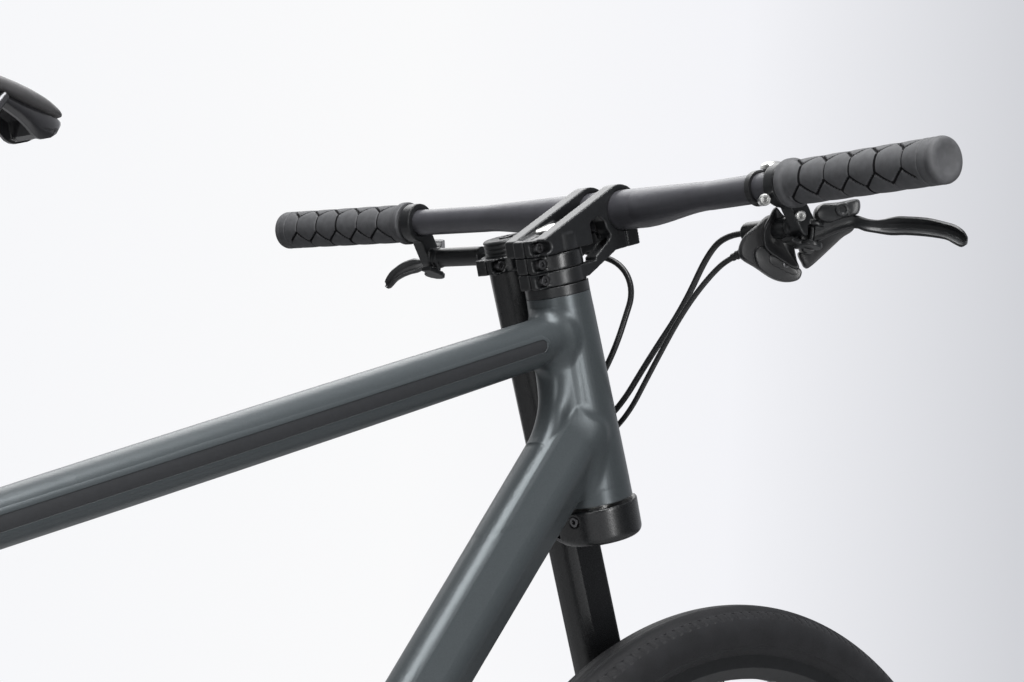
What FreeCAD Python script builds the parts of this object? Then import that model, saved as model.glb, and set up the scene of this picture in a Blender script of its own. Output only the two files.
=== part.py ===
import FreeCAD, Part
import math
import os
import re
from FreeCAD import Placement, Rotation, Vector

# Hybrid bike with a single left fork leg and a toothed belt.
# World frame: X forward, Y left, Z up, origin on the ground midway between the axles.
# Fork frame: origin at the foot of the head tube, Z up the steering axis, X forward, Y left.

doc = FreeCAD.newDocument("HybridBike")
sheet = doc.addObject("Spreadsheet::Sheet", "Sizes")

rows = [
    # Whole bike
    ("wheelbase", 1110),
    ("wheel_radius", 338),
    ("head_angle", 70.6),
    ("steer_rest", -8.65),
    ("rake", 47),
    ("crown_to_axle", 455),
    ("bracket_drop", 64),
    ("seat_angle", 71),
    ("seat_offset", 24),
    ("gap", 0.3),
    ("press_gap", 0.02),
    ("running_gap", 0.05),
    ("overrun", 5),
    # Head tube and bearings
    ("head_tube_length", 167),
    ("head_top_radius", 25.5),
    ("head_foot_radius", 30.5),
    ("head_bore_radius", 21.6),
    ("top_bearing_radius", 20.9),
    ("top_bearing_height", 7),
    ("foot_bearing_radius", 26),
    ("foot_bearing_height", 8),
    ("bearing_inset", 1),
    ("steerer_top_radius", 14.3),
    ("steerer_foot_radius", 19.9),
    ("steerer_wall", 2.6),
    ("steerer_taper_low", 30),
    ("steerer_taper_high", 80),
    ("steerer_above", 41),
    # Top tube
    ("top_tube_drop", 34.2),
    ("top_tube_slope_share", 0.335),
    ("top_tube_radius", 18.8),
    ("top_tube_seat_radius", 17.2),
    ("top_tube_taper_share", 0.35),
    ("top_tube_wall", 1.8),
    ("strip_height", 15),
    ("strip_length", 512),
    ("strip_setback", 47),
    ("strip_depth", 1.2),
    ("strip_proud", 0.3),
    # Down tube
    ("down_tube_rise", 62),
    ("down_tube_depth", 29),
    ("down_tube_half_width", 26),
    ("down_tube_flat_half", 9),
    ("down_tube_keel_half", 12),
    ("down_tube_crease", 2),
    ("down_tube_corner", 15),
    ("down_tube_head_share", 1.12),
    ("down_tube_foot_share", 0.94),
    ("down_tube_wall_share", 0.92),
    ("gusset_back", 34),
    ("gusset_half_width", 13),
    ("gusset_round", 11),
    ("gusset_bend_radius", 60),
    # Seat tube, bottom bracket
    ("seat_tube_length", 484),
    ("seat_tube_radius", 17.6),
    ("post_radius", 15.8),
    ("seat_slot_width", 2.4),
    ("seat_slot_length", 34),
    ("shell_radius", 25),
    ("shell_bore_radius", 21),
    ("shell_width", 73),
    ("cup_width", 11),
    ("boss_low", 44),
    ("boss_spacing", 64),
    ("boss_radius", 6),
    ("boss_height", 3),
    ("boss_hole_radius", 2.1),
    ("boss_hole_depth", 18),
    # Rear triangle
    ("dropout_inner", 67.5),
    ("dropout_thickness", 7),
    ("dropout_slot_radius", 5.1),
    ("dropout_back", 26),
    ("dropout_low", 15),
    ("dropout_fore", 52),
    ("dropout_high", 56),
    ("dropout_high_fore", 36),
    ("dropout_high_back", 14),
    ("dropout_corner", 6),
    ("lobe_fore", 88),
    ("lobe_high", 64),
    ("eyelet_fore", 2),
    ("eyelet_up", 25),
    ("stay_shell_at", 12),
    ("stay_shell_out", 20),
    ("stay_shell_up", 15),
    ("stay_shell_side", 9),
    ("stay_sprocket_at", 90),
    ("stay_sprocket_out", 29),
    ("stay_sprocket_up", 14),
    ("stay_sprocket_side", 8),
    ("stay_tyre_at", 150),
    ("stay_tyre_out", 41),
    ("stay_tyre_up", 13),
    ("stay_tyre_side", 8),
    ("stay_middle_at", 300),
    ("stay_middle_out", 58),
    ("stay_middle_up", 11),
    ("stay_middle_side", 7.5),
    ("stay_rear_at", 415),
    ("stay_rear_out", 66),
    ("stay_rear_up", 9.5),
    ("stay_rear_side", 6.5),
    ("eyelet_radius", 2.1),
    ("stay_seat_drop", 62),
    ("stay_seat_offset", 9),
    ("seatstay_top_half", 7),
    ("seatstay_foot_half", 7.5),
    ("seatstay_tyre_share", 0.3),
    ("seatstay_tyre_out", 37),
    ("seatstay_low_share", 0.68),
    ("seatstay_low_out", 53),
    ("seatstay_foot_out", 64),
    ("seatstay_foot_fore", 26),
    ("seatstay_foot_up", 42),
    ("bridge_half", 30),
    ("bridge_share", 0.2),
    ("bridge_radius", 6),
    # Wheels
    ("tyre_half_width", 23.5),
    ("tyre_belly_share", 0.48),
    ("tyre_shoulder_drop", 5),
    ("tyre_shoulder_half", 14),
    ("tyre_wall", 3.4),
    ("bead_radius", 292),
    ("rim_half_width", 15),
    ("rim_flank_radius", 286),
    ("rim_keel_half", 8),
    ("rim_inner_radius", 276),
    ("rim_lip_radius", 298),
    ("rim_lip", 2.2),
    ("spoke_radius", 1),
    ("spoke_count", 28),
    ("spoke_cross", 50),
    ("spoke_foot", 1.5),
    ("spoke_clear", 0.9),
    ("nipple_length", 9),
    ("nipple_radius", 2.1),
    ("flange_thickness", 3.4),
    ("front_hub_radius", 17),
    ("front_flange_radius", 31),
    ("front_left_flange", 10),
    ("front_right_flange", 31),
    ("front_hub_right", 39),
    ("front_axle_radius", 12.5),
    ("rear_hub_radius", 36),
    ("rear_flange_radius", 47),
    ("rear_flange_offset", 29),
    ("rear_hub_half", 36),
    ("rear_axle_radius", 5),
    ("axle_half", 90),
    ("nut_radius", 8.7),
    ("nut_height", 8),
    ("washer_radius", 11),
    ("washer_height", 2.5),
    ("rotor_radius", 80),
    ("rotor_band", 15),
    ("rotor_thickness", 1.8),
    ("rotor_hub_radius", 25),
    ("rotor_bore", 15),
    ("rotor_arm_half", 4.5),
    ("rotor_arms", 6),
    ("rotor_vents", 24),
    ("rotor_vent_radius", 2.6),
    ("front_rotor_y", 29),
    ("rear_rotor_y", 50.5),
    # Calipers
    ("caliper_half_length", 22),
    ("caliper_half_height", 13),
    ("caliper_side", 12),
    ("caliper_slot", 5.2),
    ("caliper_slot_depth", 23),
    ("caliper_corner", 5),
    ("caliper_reach", 72),
    ("front_caliper_angle", 152),
    ("rear_caliper_angle", 26),
    ("caliper_bolt_radius", 3),
    ("caliper_bolt_apart", 16),
    ("caliper_head_radius", 4.6),
    ("caliper_head_height", 4),
    # Drive
    ("belt_pitch", 11),
    ("belt_teeth", 118),
    ("front_teeth", 50),
    ("rear_teeth", 24),
    ("belt_width", 12),
    ("belt_back", 1.8),
    ("belt_land", 1.2),
    ("belt_tooth_depth", 3.6),
    ("belt_tooth_root_half", 3),
    ("belt_tooth_tip_half", 2),
    ("belt_line", 45.5),
    ("sprocket_tip_clear", 0.5),
    ("sprocket_gap_clear", 0.5),
    ("front_sprocket_hub", 21),
    ("front_sprocket_inner", 72),
    ("sprocket_hub_end", 57.7),
    ("sprocket_arm_half", 6),
    ("sprocket_arms", 5),
    ("sprocket_web", 5),
    ("rear_sprocket_bore", 20),
    ("rear_boss_radius", 19.9),
    ("rear_boss_end", 56),
    ("spindle_radius", 14.95),
    ("crank_length", 170),
    ("crank_inner", 58),
    ("crank_thickness", 13),
    ("crank_big_radius", 19),
    ("crank_small_radius", 13),
    ("crank_turn", 0),
    ("pedal_axle_radius", 6),
    ("pedal_pin_radius", 5),
    ("pedal_axle_collar", 8),
    ("pedal_clear", 14),
    ("pedal_half_length", 48),
    ("pedal_half_width", 44),
    ("pedal_half_height", 9),
    ("pedal_barrel_radius", 10.5),
    ("pedal_rail", 11),
    ("pedal_pin_inset", 6),
    ("pedal_corner", 14),
    # Seat
    ("post_insert", 120),
    ("post_wall", 2.2),
    ("head_block_length", 64),
    ("head_block_width", 58),
    ("head_block_height", 19),
    ("post_setback", 0),
    ("clamp_height", 16),
    ("clamp_wall", 4.5),
    ("clamp_ear", 9),
    ("clamp_bolt_share", 0.7),
    ("rail_radius", 3.5),
    ("rail_half_gap", 22),
    ("rail_drop", 50),
    ("rail_bend", 22),
    ("rail_nose_at", 30),
    ("rail_nose_half", 10),
    ("rail_nose_rise", 22),
    ("rail_fore_at", 68),
    ("rail_aft_at", 190),
    ("rail_tail_at", 242),
    ("rail_tail_half", 34),
    ("rail_tail_rise", 30),
    ("nose_x", -202.5),
    ("saddle_top_z", 957),
    ("saddle_tip_at", 3),
    ("saddle_tip_half", 9),
    ("saddle_tip_top", -9),
    ("saddle_tip_low", -20),
    ("saddle_nose_at", 25),
    ("saddle_nose_half", 18),
    ("saddle_nose_top", -2),
    ("saddle_nose_low", -23),
    ("saddle_neck_at", 80),
    ("saddle_neck_half", 21),
    ("saddle_neck_top", 1),
    ("saddle_neck_low", -22),
    ("saddle_waist_at", 140),
    ("saddle_waist_half", 33),
    ("saddle_waist_top", 1),
    ("saddle_waist_low", -21),
    ("saddle_wing_at", 200),
    ("saddle_wing_half", 60),
    ("saddle_wing_top", 5),
    ("saddle_wing_low", -17),
    ("saddle_seat_at", 245),
    ("saddle_seat_half", 72),
    ("saddle_seat_top", 10),
    ("saddle_seat_low", -11),
    ("saddle_tail_at", 270),
    ("saddle_tail_half", 50),
    ("saddle_tail_top", 7),
    ("saddle_tail_low", -4),
    ("crown_side_share", 0.86),
    ("crown_up_share", 0.72),
    ("cover_bulge", 2),
    ("base_inset", 2),
    ("base_foot_share", 0.82),
    ("base_height", 9),
    # Fork
    ("crown_drop", 29),
    ("crown_gap", 2.5),
    ("crown_radius", 33.5),
    ("crown_leg_radius", 25.5),
    ("crown_edge", 6),
    ("leg_side", 60.2),
    ("leg_fore_top", 13.6),
    ("leg_tilt", 2.37),
    ("leg_radius", 19.6),
    ("leg_wall", 2.5),
    ("leg_flat_side", 16.5),
    ("leg_flat_top", 65),
    ("leg_corner_fore", 15.4),
    ("leg_foot_inner", 38),
    ("leg_foot_outer", 72),
    ("leg_tab_inner", 44),
    ("leg_tab_thickness", 7),
    ("leg_tab_half", 26),
    ("leg_foot_radius", 27),
    ("spacer_height", 7.8),
    ("ring_low_height", 12.3),
    ("ring_mid_height", 12.8),
    ("ring_top_height", 13.2),
    ("ring_radius", 24.3),
    ("ear_back", 31),
    ("ear_half_width", 14),
    ("ear_left", 9),
    ("slit_width", 1.6),
    ("slit_side", 3),
    ("upper_leg_radius", 24),
    ("arm_half_width", 12),
    ("cap_height", 13),
    ("cap_radius", 19.4),
    ("cap_groove", 1.2),
    ("cap_groove_depth", 1),
    ("cap_bolt_radius", 6),
    ("cap_bolt_proud", 1.2),
    # Stem
    ("bar_fore", 64),
    ("bar_up", 221.2),
    ("bar_radius", 15.9),
    ("loop_wall", 4.8),
    ("plate_inner", 10),
    ("plate_thickness", 13),
    ("arm_start_back", 26),
    ("lug_low", 191.5),
    ("lug_back", 50),
    ("lug_fore", 78),
    ("strut_low", 177.6),
    ("strut_fore", 16),
    ("window_back", 25.8),
    ("window_foot", 190.5),
    ("window_back_top", 217.5),
    ("window_peak_fore", 36.5),
    ("window_peak", 221),
    ("window_nose_fore", 42.3),
    ("window_nose", 216),
    ("window_waist_fore", 43.2),
    ("window_waist", 210),
    ("window_lip_fore", 46.5),
    ("window_lip", 205),
    ("window_toe_fore", 45),
    ("window_toe", 201.5),
    ("deck_fore", 19),
    ("deck_back", 20),
    ("deck_step", 6),
    ("deck_depth", 9),
    ("plug_radius", 9.2),
    ("plug_height", 1.8),
    ("stem_bolt_radius", 2.5),
    ("stem_head_radius", 3.9),
    ("stem_head_height", 5),
    ("stem_bolt_back", 24),
    ("pocket_half", 4.6),
    ("pocket_fore", 12),
    ("pocket_floor", 9),
    ("lug_bolt_drop", 23.2),
    ("socket_radius", 2),
    ("socket_depth", 2.4),
    ("crown_bolt_side", 6),
    ("crown_bolt_up", 10),
    ("crown_low_bolt_side", 20),
    ("crown_low_bolt_up", 24),
    ("crown_bolt_end", 20.6),
    ("crown_low_bolt_end", 12),
    ("crown_bolt_back", 28),
    ("crown_low_bolt_back", 22),
    # Bar and grips
    ("bar_half_width", 363),
    ("bar_end_back", 35),
    ("bar_end_rise", 15.6),
    ("bar_end_radius", 11.1),
    ("bar_clamp_half", 44),
    ("bar_bend_half", 128),
    ("bar_bend_rise", 5),
    ("bar_wall", 2),
    ("grip_length", 150),
    ("grip_radius", 16.6),
    ("grip_flange_radius", 18.4),
    ("grip_flange", 5),
    ("grip_cap", 3),
    # Brake levers, in the bar-end frame
    ("clamp_ring_wall", 5.4),
    ("clamp_ring_width", 11),
    ("clamp_ring_start", 152),
    ("master_start", 166),
    ("master_length", 52),
    ("master_radius", 8.2),
    ("master_fore", 11),
    ("master_down", 33),
    ("master_lip", 1),
    ("pivot_at", 157),
    ("pivot_fore", 17),
    ("pivot_down", 41),
    ("pivot_radius", 9),
    ("pivot_cheek", 4),
    ("pivot_pin_radius", 2.5),
    ("lever_tilt", 27),
    ("blade_half_height", 5.5),
    ("blade_root_half", 6),
    ("blade_mid_fore", 29),
    ("blade_mid_half", 4.5),
    ("blade_mid_out", 52),
    ("blade_tip_fore", 50),
    ("blade_tip_half", 3),
    ("blade_tip_out", 109),
    ("blade_ball", 5.6),
    # Shifter, in the bar-end frame
    ("pod_at", 182),
    ("pod_fore", 10),
    ("pod_down", 63),
    ("pod_radius", 18),
    ("pod_depth", 20),
    ("pod_lean", 65),
    ("pod_yaw", 20),
    ("hanger_length", 4.5),
    ("hanger_back", 2),
    ("pod_ring_width", 9),
    ("pod_ring_start", 171),
    ("paddle_thickness", 6),
    ("paddle_length", 40),
    ("paddle_half_width", 14),
    ("paddle_hub_radius", 11),
    ("paddle_neck_half", 9),
    ("paddle_lid", 2.5),
    ("paddle_dish", 60),
    ("paddle_dish_depth", 2.5),
    ("lever_pin_radius", 3),
    ("release_thickness", 5),
    ("release_hub_radius", 9),
    ("release_radius", 2.4),
    ("release_ball", 6),
    ("release_tip_fore", 65),
    ("release_tip_at", 148),
    ("release_tip_down", 46),
    # Bell, in the bar-end frame
    ("bell_radius", 13.5),
    ("bell_height", 9),
    ("bell_wall", 1.2),
    ("bell_lean", 72),
    ("bell_ring_wall", 2.6),
    ("bell_ring_width", 6.4),
    ("bell_ring_start", 180.5),
    ("bell_dome_low", 17),
    ("bell_post_radius", 3),
    ("bell_foot_radius", 3.1),
    ("bell_crown_radius", 4),
    ("striker_arm", 15.5),
    ("striker_seat_half", 2),
    ("striker_radius", 2),
    ("striker_ball", 2.4),
    # Cords
    ("hose_radius", 2.5),
    ("cable_radius", 2.2),
    ("cord_lead", 18),
    ("cord_bend_share", 0.45),
    ("cord_bend_most", 150),
    ("hose_clear", 0.6),
    ("hose_entry", 8),
    ("hose_run_in", 40),
    ("hose_turn_up", 145),
    ("hose_cross_up", 105),
    ("hose_cross_side", 36),
    ("cord_join", 95),
    ("cord_leave", 110),
    ("hose_level", 8),
    ("cable_level", 6),
    ("hose_shell_back", 6),
    ("hose_shell_side", 31),
    ("hose_shell_up", 31),
    ("hose_stay_at", 130),
    ("hose_stay_up", 19),
    ("hose_stay_side", 37),
    ("hose_rise_at", 250),
    ("hose_rise_side", 53),
    ("cable_dive_at", 45),
    ("cable_dive_down", 35),
    ("cable_dive_side", 22),
    ("cable_under", 38),
    ("cable_under_side", 6),
    ("cable_stay_clear", 3.4),
    ("cable_end_at", 400),
    ("cable_end_side", 62),
    ("front_hose_1_fore", 76),
    ("front_hose_1_side", 58),
    ("front_hose_1_up", 196),
    ("front_hose_2_fore", 90),
    ("front_hose_2_side", -6),
    ("front_hose_2_up", 168),
    ("front_hose_3_fore", 56),
    ("front_hose_3_side", 4),
    ("front_hose_3_up", 110),
    ("front_hose_4_fore", 48),
    ("front_hose_4_side", 30),
    ("front_hose_4_up", 76),
    ("rear_hose_1_fore", 73),
    ("rear_hose_1_side", -114),
    ("rear_hose_1_up", 184),
    ("rear_hose_2_fore", 58),
    ("rear_hose_2_side", -84),
    ("rear_hose_2_up", 144),
    ("rear_hose_3_fore", 50),
    ("rear_hose_3_side", -42),
    ("rear_hose_3_up", 98),
    ("rear_hose_4_fore", 44),
    ("rear_hose_4_side", 0),
    ("rear_hose_4_up", 65),
    ("rear_hose_5_fore", 41),
    ("rear_hose_5_side", 40),
    ("rear_hose_5_up", 43),
    ("cable_1_fore", 56),
    ("cable_1_side", -130),
    ("cable_1_up", 167),
    ("cable_2_fore", 47),
    ("cable_2_side", -95),
    ("cable_2_up", 135),
    ("cable_3_fore", 46),
    ("cable_3_side", -50),
    ("cable_3_up", 92),
    ("cable_4_fore", 46),
    ("cable_4_side", -2),
    ("cable_4_up", 55),
    ("cable_5_fore", 41),
    ("cable_5_side", 46),
    ("cable_5_up", 29),
]
for number, (alias, value) in enumerate(rows, start=1):
    sheet.set("A%d" % number, alias)
    sheet.set("B%d" % number, str(value))
    sheet.setAlias("B%d" % number, alias)
doc.recompute()

nodes = []
origin = Vector(0, 0, 0)
axis_x = Vector(1, 0, 0)
axis_y = Vector(0, 1, 0)
axis_z = Vector(0, 0, 1)


# Helpers that make document objects


def bind(item, **rules):
    for name, rule in rules.items():
        item.setExpression(name, re.sub(r"[a-z]\w*", lambda found: "Sizes." + found.group(), rule))
    return item


def along(axis):
    return Rotation(axis_z, axis)


def cylinder(radius, height, base=origin, axis=axis_z):
    item = bind(doc.addObject("Part::Cylinder", "Cylinder"), Radius=radius)
    if isinstance(height, str):
        bind(item, Height=height)
    else:
        item.Height = height
    item.Placement = Placement(base, along(axis))
    return item


def block(length, width, height, corner, turn=Rotation()):
    item = doc.addObject("Part::Box", "Block")
    for name, rule in (("Length", length), ("Width", width), ("Height", height)):
        if isinstance(rule, str):
            bind(item, **{name: rule})
        else:
            setattr(item, name, rule)
    item.Placement = Placement(corner, turn)
    return item


def ball(radius, centre):
    item = bind(doc.addObject("Part::Sphere", "Ball"), Radius=radius)
    item.Placement = Placement(centre, Rotation())
    return item


def fuse(*items):
    item = doc.addObject("Part::MultiFuse", "Joined")
    item.Shapes = list(items)
    return item


def group(*items):
    item = doc.addObject("Part::Compound", "Group")
    item.Links = list(items)
    return item


def cut(base, *tools):
    item = doc.addObject("Part::Cut", "Cut")
    item.Base = base
    item.Tool = tools[0] if len(tools) == 1 else fuse(*tools)
    return item


def common(first, second):
    item = doc.addObject("Part::Common", "Common")
    item.Base = first
    item.Tool = second
    return item


def mirrored(source):
    item = doc.addObject("Part::Mirroring", "Mirrored")
    item.Source = source
    item.Normal = axis_y
    return item


def moved(source, place):
    item = doc.addObject("Part::Compound", "Moved")
    item.Links = [source]
    item.Placement = place
    return item


def shaped(shape, name="Shaped"):
    item = doc.addObject("Part::Feature", name)
    item.Shape = shape
    return item


def sketch_on(body, plane):
    sketch = body.newObject("Sketcher::SketchObject", "Sketch")
    support = [item for item in body.Origin.OriginFeatures if item.Role == plane][0]
    sketch.AttachmentSupport = (support, [""])
    sketch.MapMode = "FlatFace"
    return sketch


# A step is a point to draw a line to, or a pair: a point to pass through and the point an arc ends at.
def outline(sketch, steps):
    last = steps[-1]
    start = last[1] if isinstance(last[0], tuple) else last
    for step in steps:
        curved = isinstance(step[0], tuple)
        end = step[1] if curved else step
        if curved:
            sketch.addGeometry(Part.Arc(Vector(*start), Vector(*step[0]), Vector(*end)), False)
        else:
            sketch.addGeometry(Part.LineSegment(Vector(*start), Vector(*end)), False)
        start = end


def circle(sketch, x, y, radius):
    sketch.addGeometry(Part.Circle(Vector(x, y), axis_z, radius), False)


def turned(name, steps):
    body = doc.addObject("PartDesign::Body", name)
    sketch = sketch_on(body, "XZ_Plane")
    outline(sketch, steps)
    turn = body.newObject("PartDesign::Revolution", "Turn")
    turn.Profile = sketch
    turn.ReferenceAxis = (sketch, ["V_Axis"])
    turn.Angle = 360
    body.Tip = turn
    return body


# A plate drawn on one plane of its own body and padded; circles are holes in it.
def plate(name, plane, steps, thickness, circles=(), middle=False):
    body = doc.addObject("PartDesign::Body", name)
    sketch = sketch_on(body, plane)
    outline(sketch, steps)
    for x, y, radius in circles:
        circle(sketch, x, y, radius)
    pad = body.newObject("PartDesign::Pad", "Pad")
    pad.Profile = sketch
    bind(pad, Length=thickness)
    pad.Midplane = middle
    body.Tip = pad
    return body


def rounded(points, radius):
    steps = []
    for index, point in enumerate(points):
        here = Vector(*point)
        before = Vector(*points[index - 1]) - here
        after = Vector(*points[(index + 1) % len(points)]) - here
        reach = radius / math.tan(before.getAngle(after) / 2)
        first = here + before.normalize() * reach
        last = here + after.normalize() * reach
        inward = (before + after).normalize()
        centre = here + inward * (radius / math.sin(before.getAngle(after) / 2))
        middle = centre - inward * radius
        steps.append((first.x, first.y))
        steps.append(((middle.x, middle.y), (last.x, last.y)))
    return steps


def hull_of_two(big, big_x, small, small_x):
    lean = math.asin((big - small) / abs(small_x - big_x))
    side = 1 if small_x > big_x else -1
    up = Vector(side * math.sin(lean), math.cos(lean))
    down = Vector(side * math.sin(lean), -math.cos(lean))
    return [
        (big_x + big * down.x, big * down.y),
        ((big_x - side * big, 0), (big_x + big * up.x, big * up.y)),
        (small_x + small * up.x, small * up.y),
        ((small_x + side * small, 0), (small_x + small * down.x, small * down.y)),
    ]


def lofted(wires, name="Lofted"):
    return shaped(Part.makeLoft(wires, True, False), name)


def ring_wire(centre, axis, half_up, half_side=None, up=axis_z):
    wire = Part.Wire(Part.makeCircle(half_up, origin, axis_z))
    if half_side and half_side != half_up:
        big = max(half_up, half_side)
        small = min(half_up, half_side)
        wire = Part.Wire(Part.Ellipse(origin, big, small).toShape())
        if half_side > half_up:
            wire.rotate(origin, axis_z, 90)
    wire.Placement = Placement(centre, Rotation(up, axis_y, axis, "ZXY")).multiply(wire.Placement)
    return wire


# A round cord along straight runs joined by tangent arcs.
def cord_wire(points, bends):
    edges = []
    start = points[0]
    for index in range(1, len(points) - 1):
        here = points[index]
        before = (points[index - 1] - here).normalize()
        after = (points[index + 1] - here).normalize()
        half = before.getAngle(after) / 2
        radius = bends[index - 1]
        reach = radius / math.tan(half)
        inward = (before + after).normalize()
        centre = here + inward * (radius / math.sin(half))
        first = here + before * reach
        last = here + after * reach
        edges.append(Part.LineSegment(start, first).toShape())
        edges.append(Part.Arc(first, centre - inward * radius, last).toShape())
        start = last
    edges.append(Part.LineSegment(start, points[-1]).toShape())
    return Part.Wire(edges)


def cord(label, points, bends, radius):
    path = cord_wire(points, bends)
    heading = points[1] - points[0]
    profile = Part.Wire(Part.makeCircle(radius, points[0], heading))
    shape = path.makePipeShell([profile], True, False)
    expected = math.pi * radius**2 * path.Length
    print("%s length %.0f, bends %s, volume share %.3f" % (
        label, path.Length, bends, shape.Volume / expected))
    return shaped(shape, label)


def node(item, label, place=None):
    item.Label = label
    if place is not None:
        item.Placement = place
    nodes.append(item)
    return item


# Skeleton

lean = math.radians(90 - sheet.head_angle)
steer_axis = Vector(-math.sin(lean), 0, math.cos(lean))
fore_axis = Vector(math.cos(lean), 0, math.sin(lean))
front_axle = Vector(sheet.wheelbase / 2, 0, sheet.wheel_radius)
rear_axle = Vector(-sheet.wheelbase / 2, 0, sheet.wheel_radius)
head_foot = front_axle - fore_axis * sheet.rake + steer_axis * sheet.crown_to_axle
head_top = head_foot + steer_axis * sheet.head_tube_length
head_place = Placement(head_foot, Rotation(axis_y, sheet.head_angle - 90))
fork_place = head_place.multiply(Placement(origin, Rotation(axis_z, sheet.steer_rest)))

pitch_front = sheet.front_teeth * sheet.belt_pitch / (2 * math.pi)
pitch_rear = sheet.rear_teeth * sheet.belt_pitch / (2 * math.pi)


def belt_length(centres):
    tilt = math.asin((pitch_front - pitch_rear) / centres)
    arcs = pitch_front * (math.pi + 2 * tilt) + pitch_rear * (math.pi - 2 * tilt)
    return 2 * centres * math.cos(tilt) + arcs


# The belt's whole number of teeth sets the distance from bottom bracket to rear axle.
belt_centres = (sheet.belt_teeth * sheet.belt_pitch - math.pi * (pitch_front + pitch_rear)) / 2
for _ in range(30):
    belt_centres += (sheet.belt_teeth * sheet.belt_pitch - belt_length(belt_centres)) / 2
stay_run = math.sqrt(belt_centres**2 - sheet.bracket_drop**2)
bracket = rear_axle + Vector(stay_run, 0, -sheet.bracket_drop)

seat_lean = math.radians(sheet.seat_angle)
seat_axis = Vector(-math.cos(seat_lean), 0, math.sin(seat_lean))
seat_fore = Vector(math.sin(seat_lean), 0, math.cos(seat_lean))
seat_foot = bracket - axis_x * sheet.seat_offset
seat_top = seat_foot + seat_axis * sheet.seat_tube_length
seat_place = Placement(seat_foot, Rotation(axis_y, sheet.seat_angle - 90))

top_line = Vector(1, 0, sheet.top_tube_slope_share).normalize()
top_point = head_top - axis_z * sheet.top_tube_drop


# Where a line in the midplane meets another
def meet(point, heading, other, other_heading):
    offset = other - point
    cross = heading.x * other_heading.z - heading.z * other_heading.x
    reach = (offset.x * other_heading.z - offset.z * other_heading.x) / cross
    return point + heading * reach


top_fore = meet(top_point, top_line, head_foot, steer_axis)
top_back = meet(top_point, top_line, seat_foot, seat_axis)
top_run = (top_fore - top_back).Length
down_fore = head_foot + steer_axis * sheet.down_tube_rise
down_line = (down_fore - bracket).normalize()
down_run = (down_fore - bracket).Length
down_up = Vector(-down_line.z, 0, down_line.x)
down_place = Placement(bracket, Rotation(down_up, axis_y, down_line, "ZXY"))

# Outer walls of the tubes others are mitred against
head_wall = doc.addObject("Part::Cone", "HeadWall")
bind(head_wall, Radius1="head_foot_radius + press_gap", Radius2="head_top_radius + press_gap",
     Height="head_tube_length")
head_wall.Placement = head_place
seat_wall = cylinder("seat_tube_radius + press_gap", "seat_tube_length", seat_foot, seat_axis)
shell_wall = cylinder("shell_radius + press_gap", "shell_width", bracket - axis_y * (sheet.shell_width / 2), axis_y)

# Head tube and headset

top_seat = sheet.head_tube_length - sheet.bearing_inset - sheet.top_bearing_height
foot_seat = sheet.bearing_inset + sheet.foot_bearing_height
top_fit = sheet.top_bearing_radius + sheet.press_gap
foot_fit = sheet.foot_bearing_radius + sheet.press_gap
head_tube = turned("HeadTube", [
    (foot_fit, 0),
    (sheet.head_foot_radius, 0),
    (sheet.head_top_radius, sheet.head_tube_length),
    (top_fit, sheet.head_tube_length),
    (top_fit, top_seat - sheet.gap),
    (sheet.top_bearing_radius - sheet.bearing_inset, top_seat - sheet.gap),
    (sheet.head_bore_radius, sheet.steerer_taper_high),
    (sheet.head_bore_radius, foot_seat + sheet.gap),
    (foot_fit, foot_seat + sheet.gap),
])
node(head_tube, "head_tube", head_place)


def bearing(outer, inner, low, high):
    return turned("Bearing", [(inner, low), (outer, low), (outer, high), (inner, high)])


bearings = group(
    bearing(sheet.top_bearing_radius, sheet.steerer_top_radius + sheet.running_gap,
            top_seat, top_seat + sheet.top_bearing_height),
    bearing(sheet.foot_bearing_radius, sheet.steerer_foot_radius + sheet.running_gap,
            sheet.bearing_inset, foot_seat),
)
node(bearings, "headset_bearings", head_place)

# Top tube with a shallow inset on each side for the bumper strips


def top_round(growth):
    rings = []
    for share, radius in ((0, "top_tube_seat_radius"), (sheet.top_tube_taper_share, "top_tube_radius"), (1, "top_tube_radius")):
        ring = bind(doc.addObject("Part::Circle", "Ring"), Radius=radius + " + " + growth)
        ring.Placement = Placement(top_back + top_line * (top_run * share), along(top_line))
        rings.append(ring)
    item = doc.addObject("Part::Loft", "TopRound")
    item.Sections = rings
    item.Solid = True
    item.Ruled = False
    return item


def strip_prism(growth):
    half = sheet.strip_height / 2 + growth
    front = top_run - sheet.strip_setback - sheet.strip_height / 2
    back = front - sheet.strip_length + sheet.strip_height
    prism = plate("StripPrism", "XY_Plane", hull_of_two(half, front, half, back), "head_tube_length", middle=True)
    prism.Placement = Placement(top_back, Rotation(top_line, top_line.cross(axis_y), axis_y, "ZXY"))
    return prism


top_core = top_round("0 - strip_depth")
top_skin = top_round("0")
top_bore = top_round("0 - top_tube_wall - strip_depth")
strip_pocket = common(cut(top_round("overrun"), top_core), strip_prism(0))
top_tube = cut(top_skin, top_bore, head_wall, seat_wall, strip_pocket)
node(top_tube, "top_tube")
strip_band = cut(top_round("strip_proud"), top_round("running_gap - strip_depth"))
node(common(strip_band, strip_prism(-sheet.gap)), "top_tube_bumper")

# Down tube: creased section, deeper at the head tube, with a gusset curving up under the top tube


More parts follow.
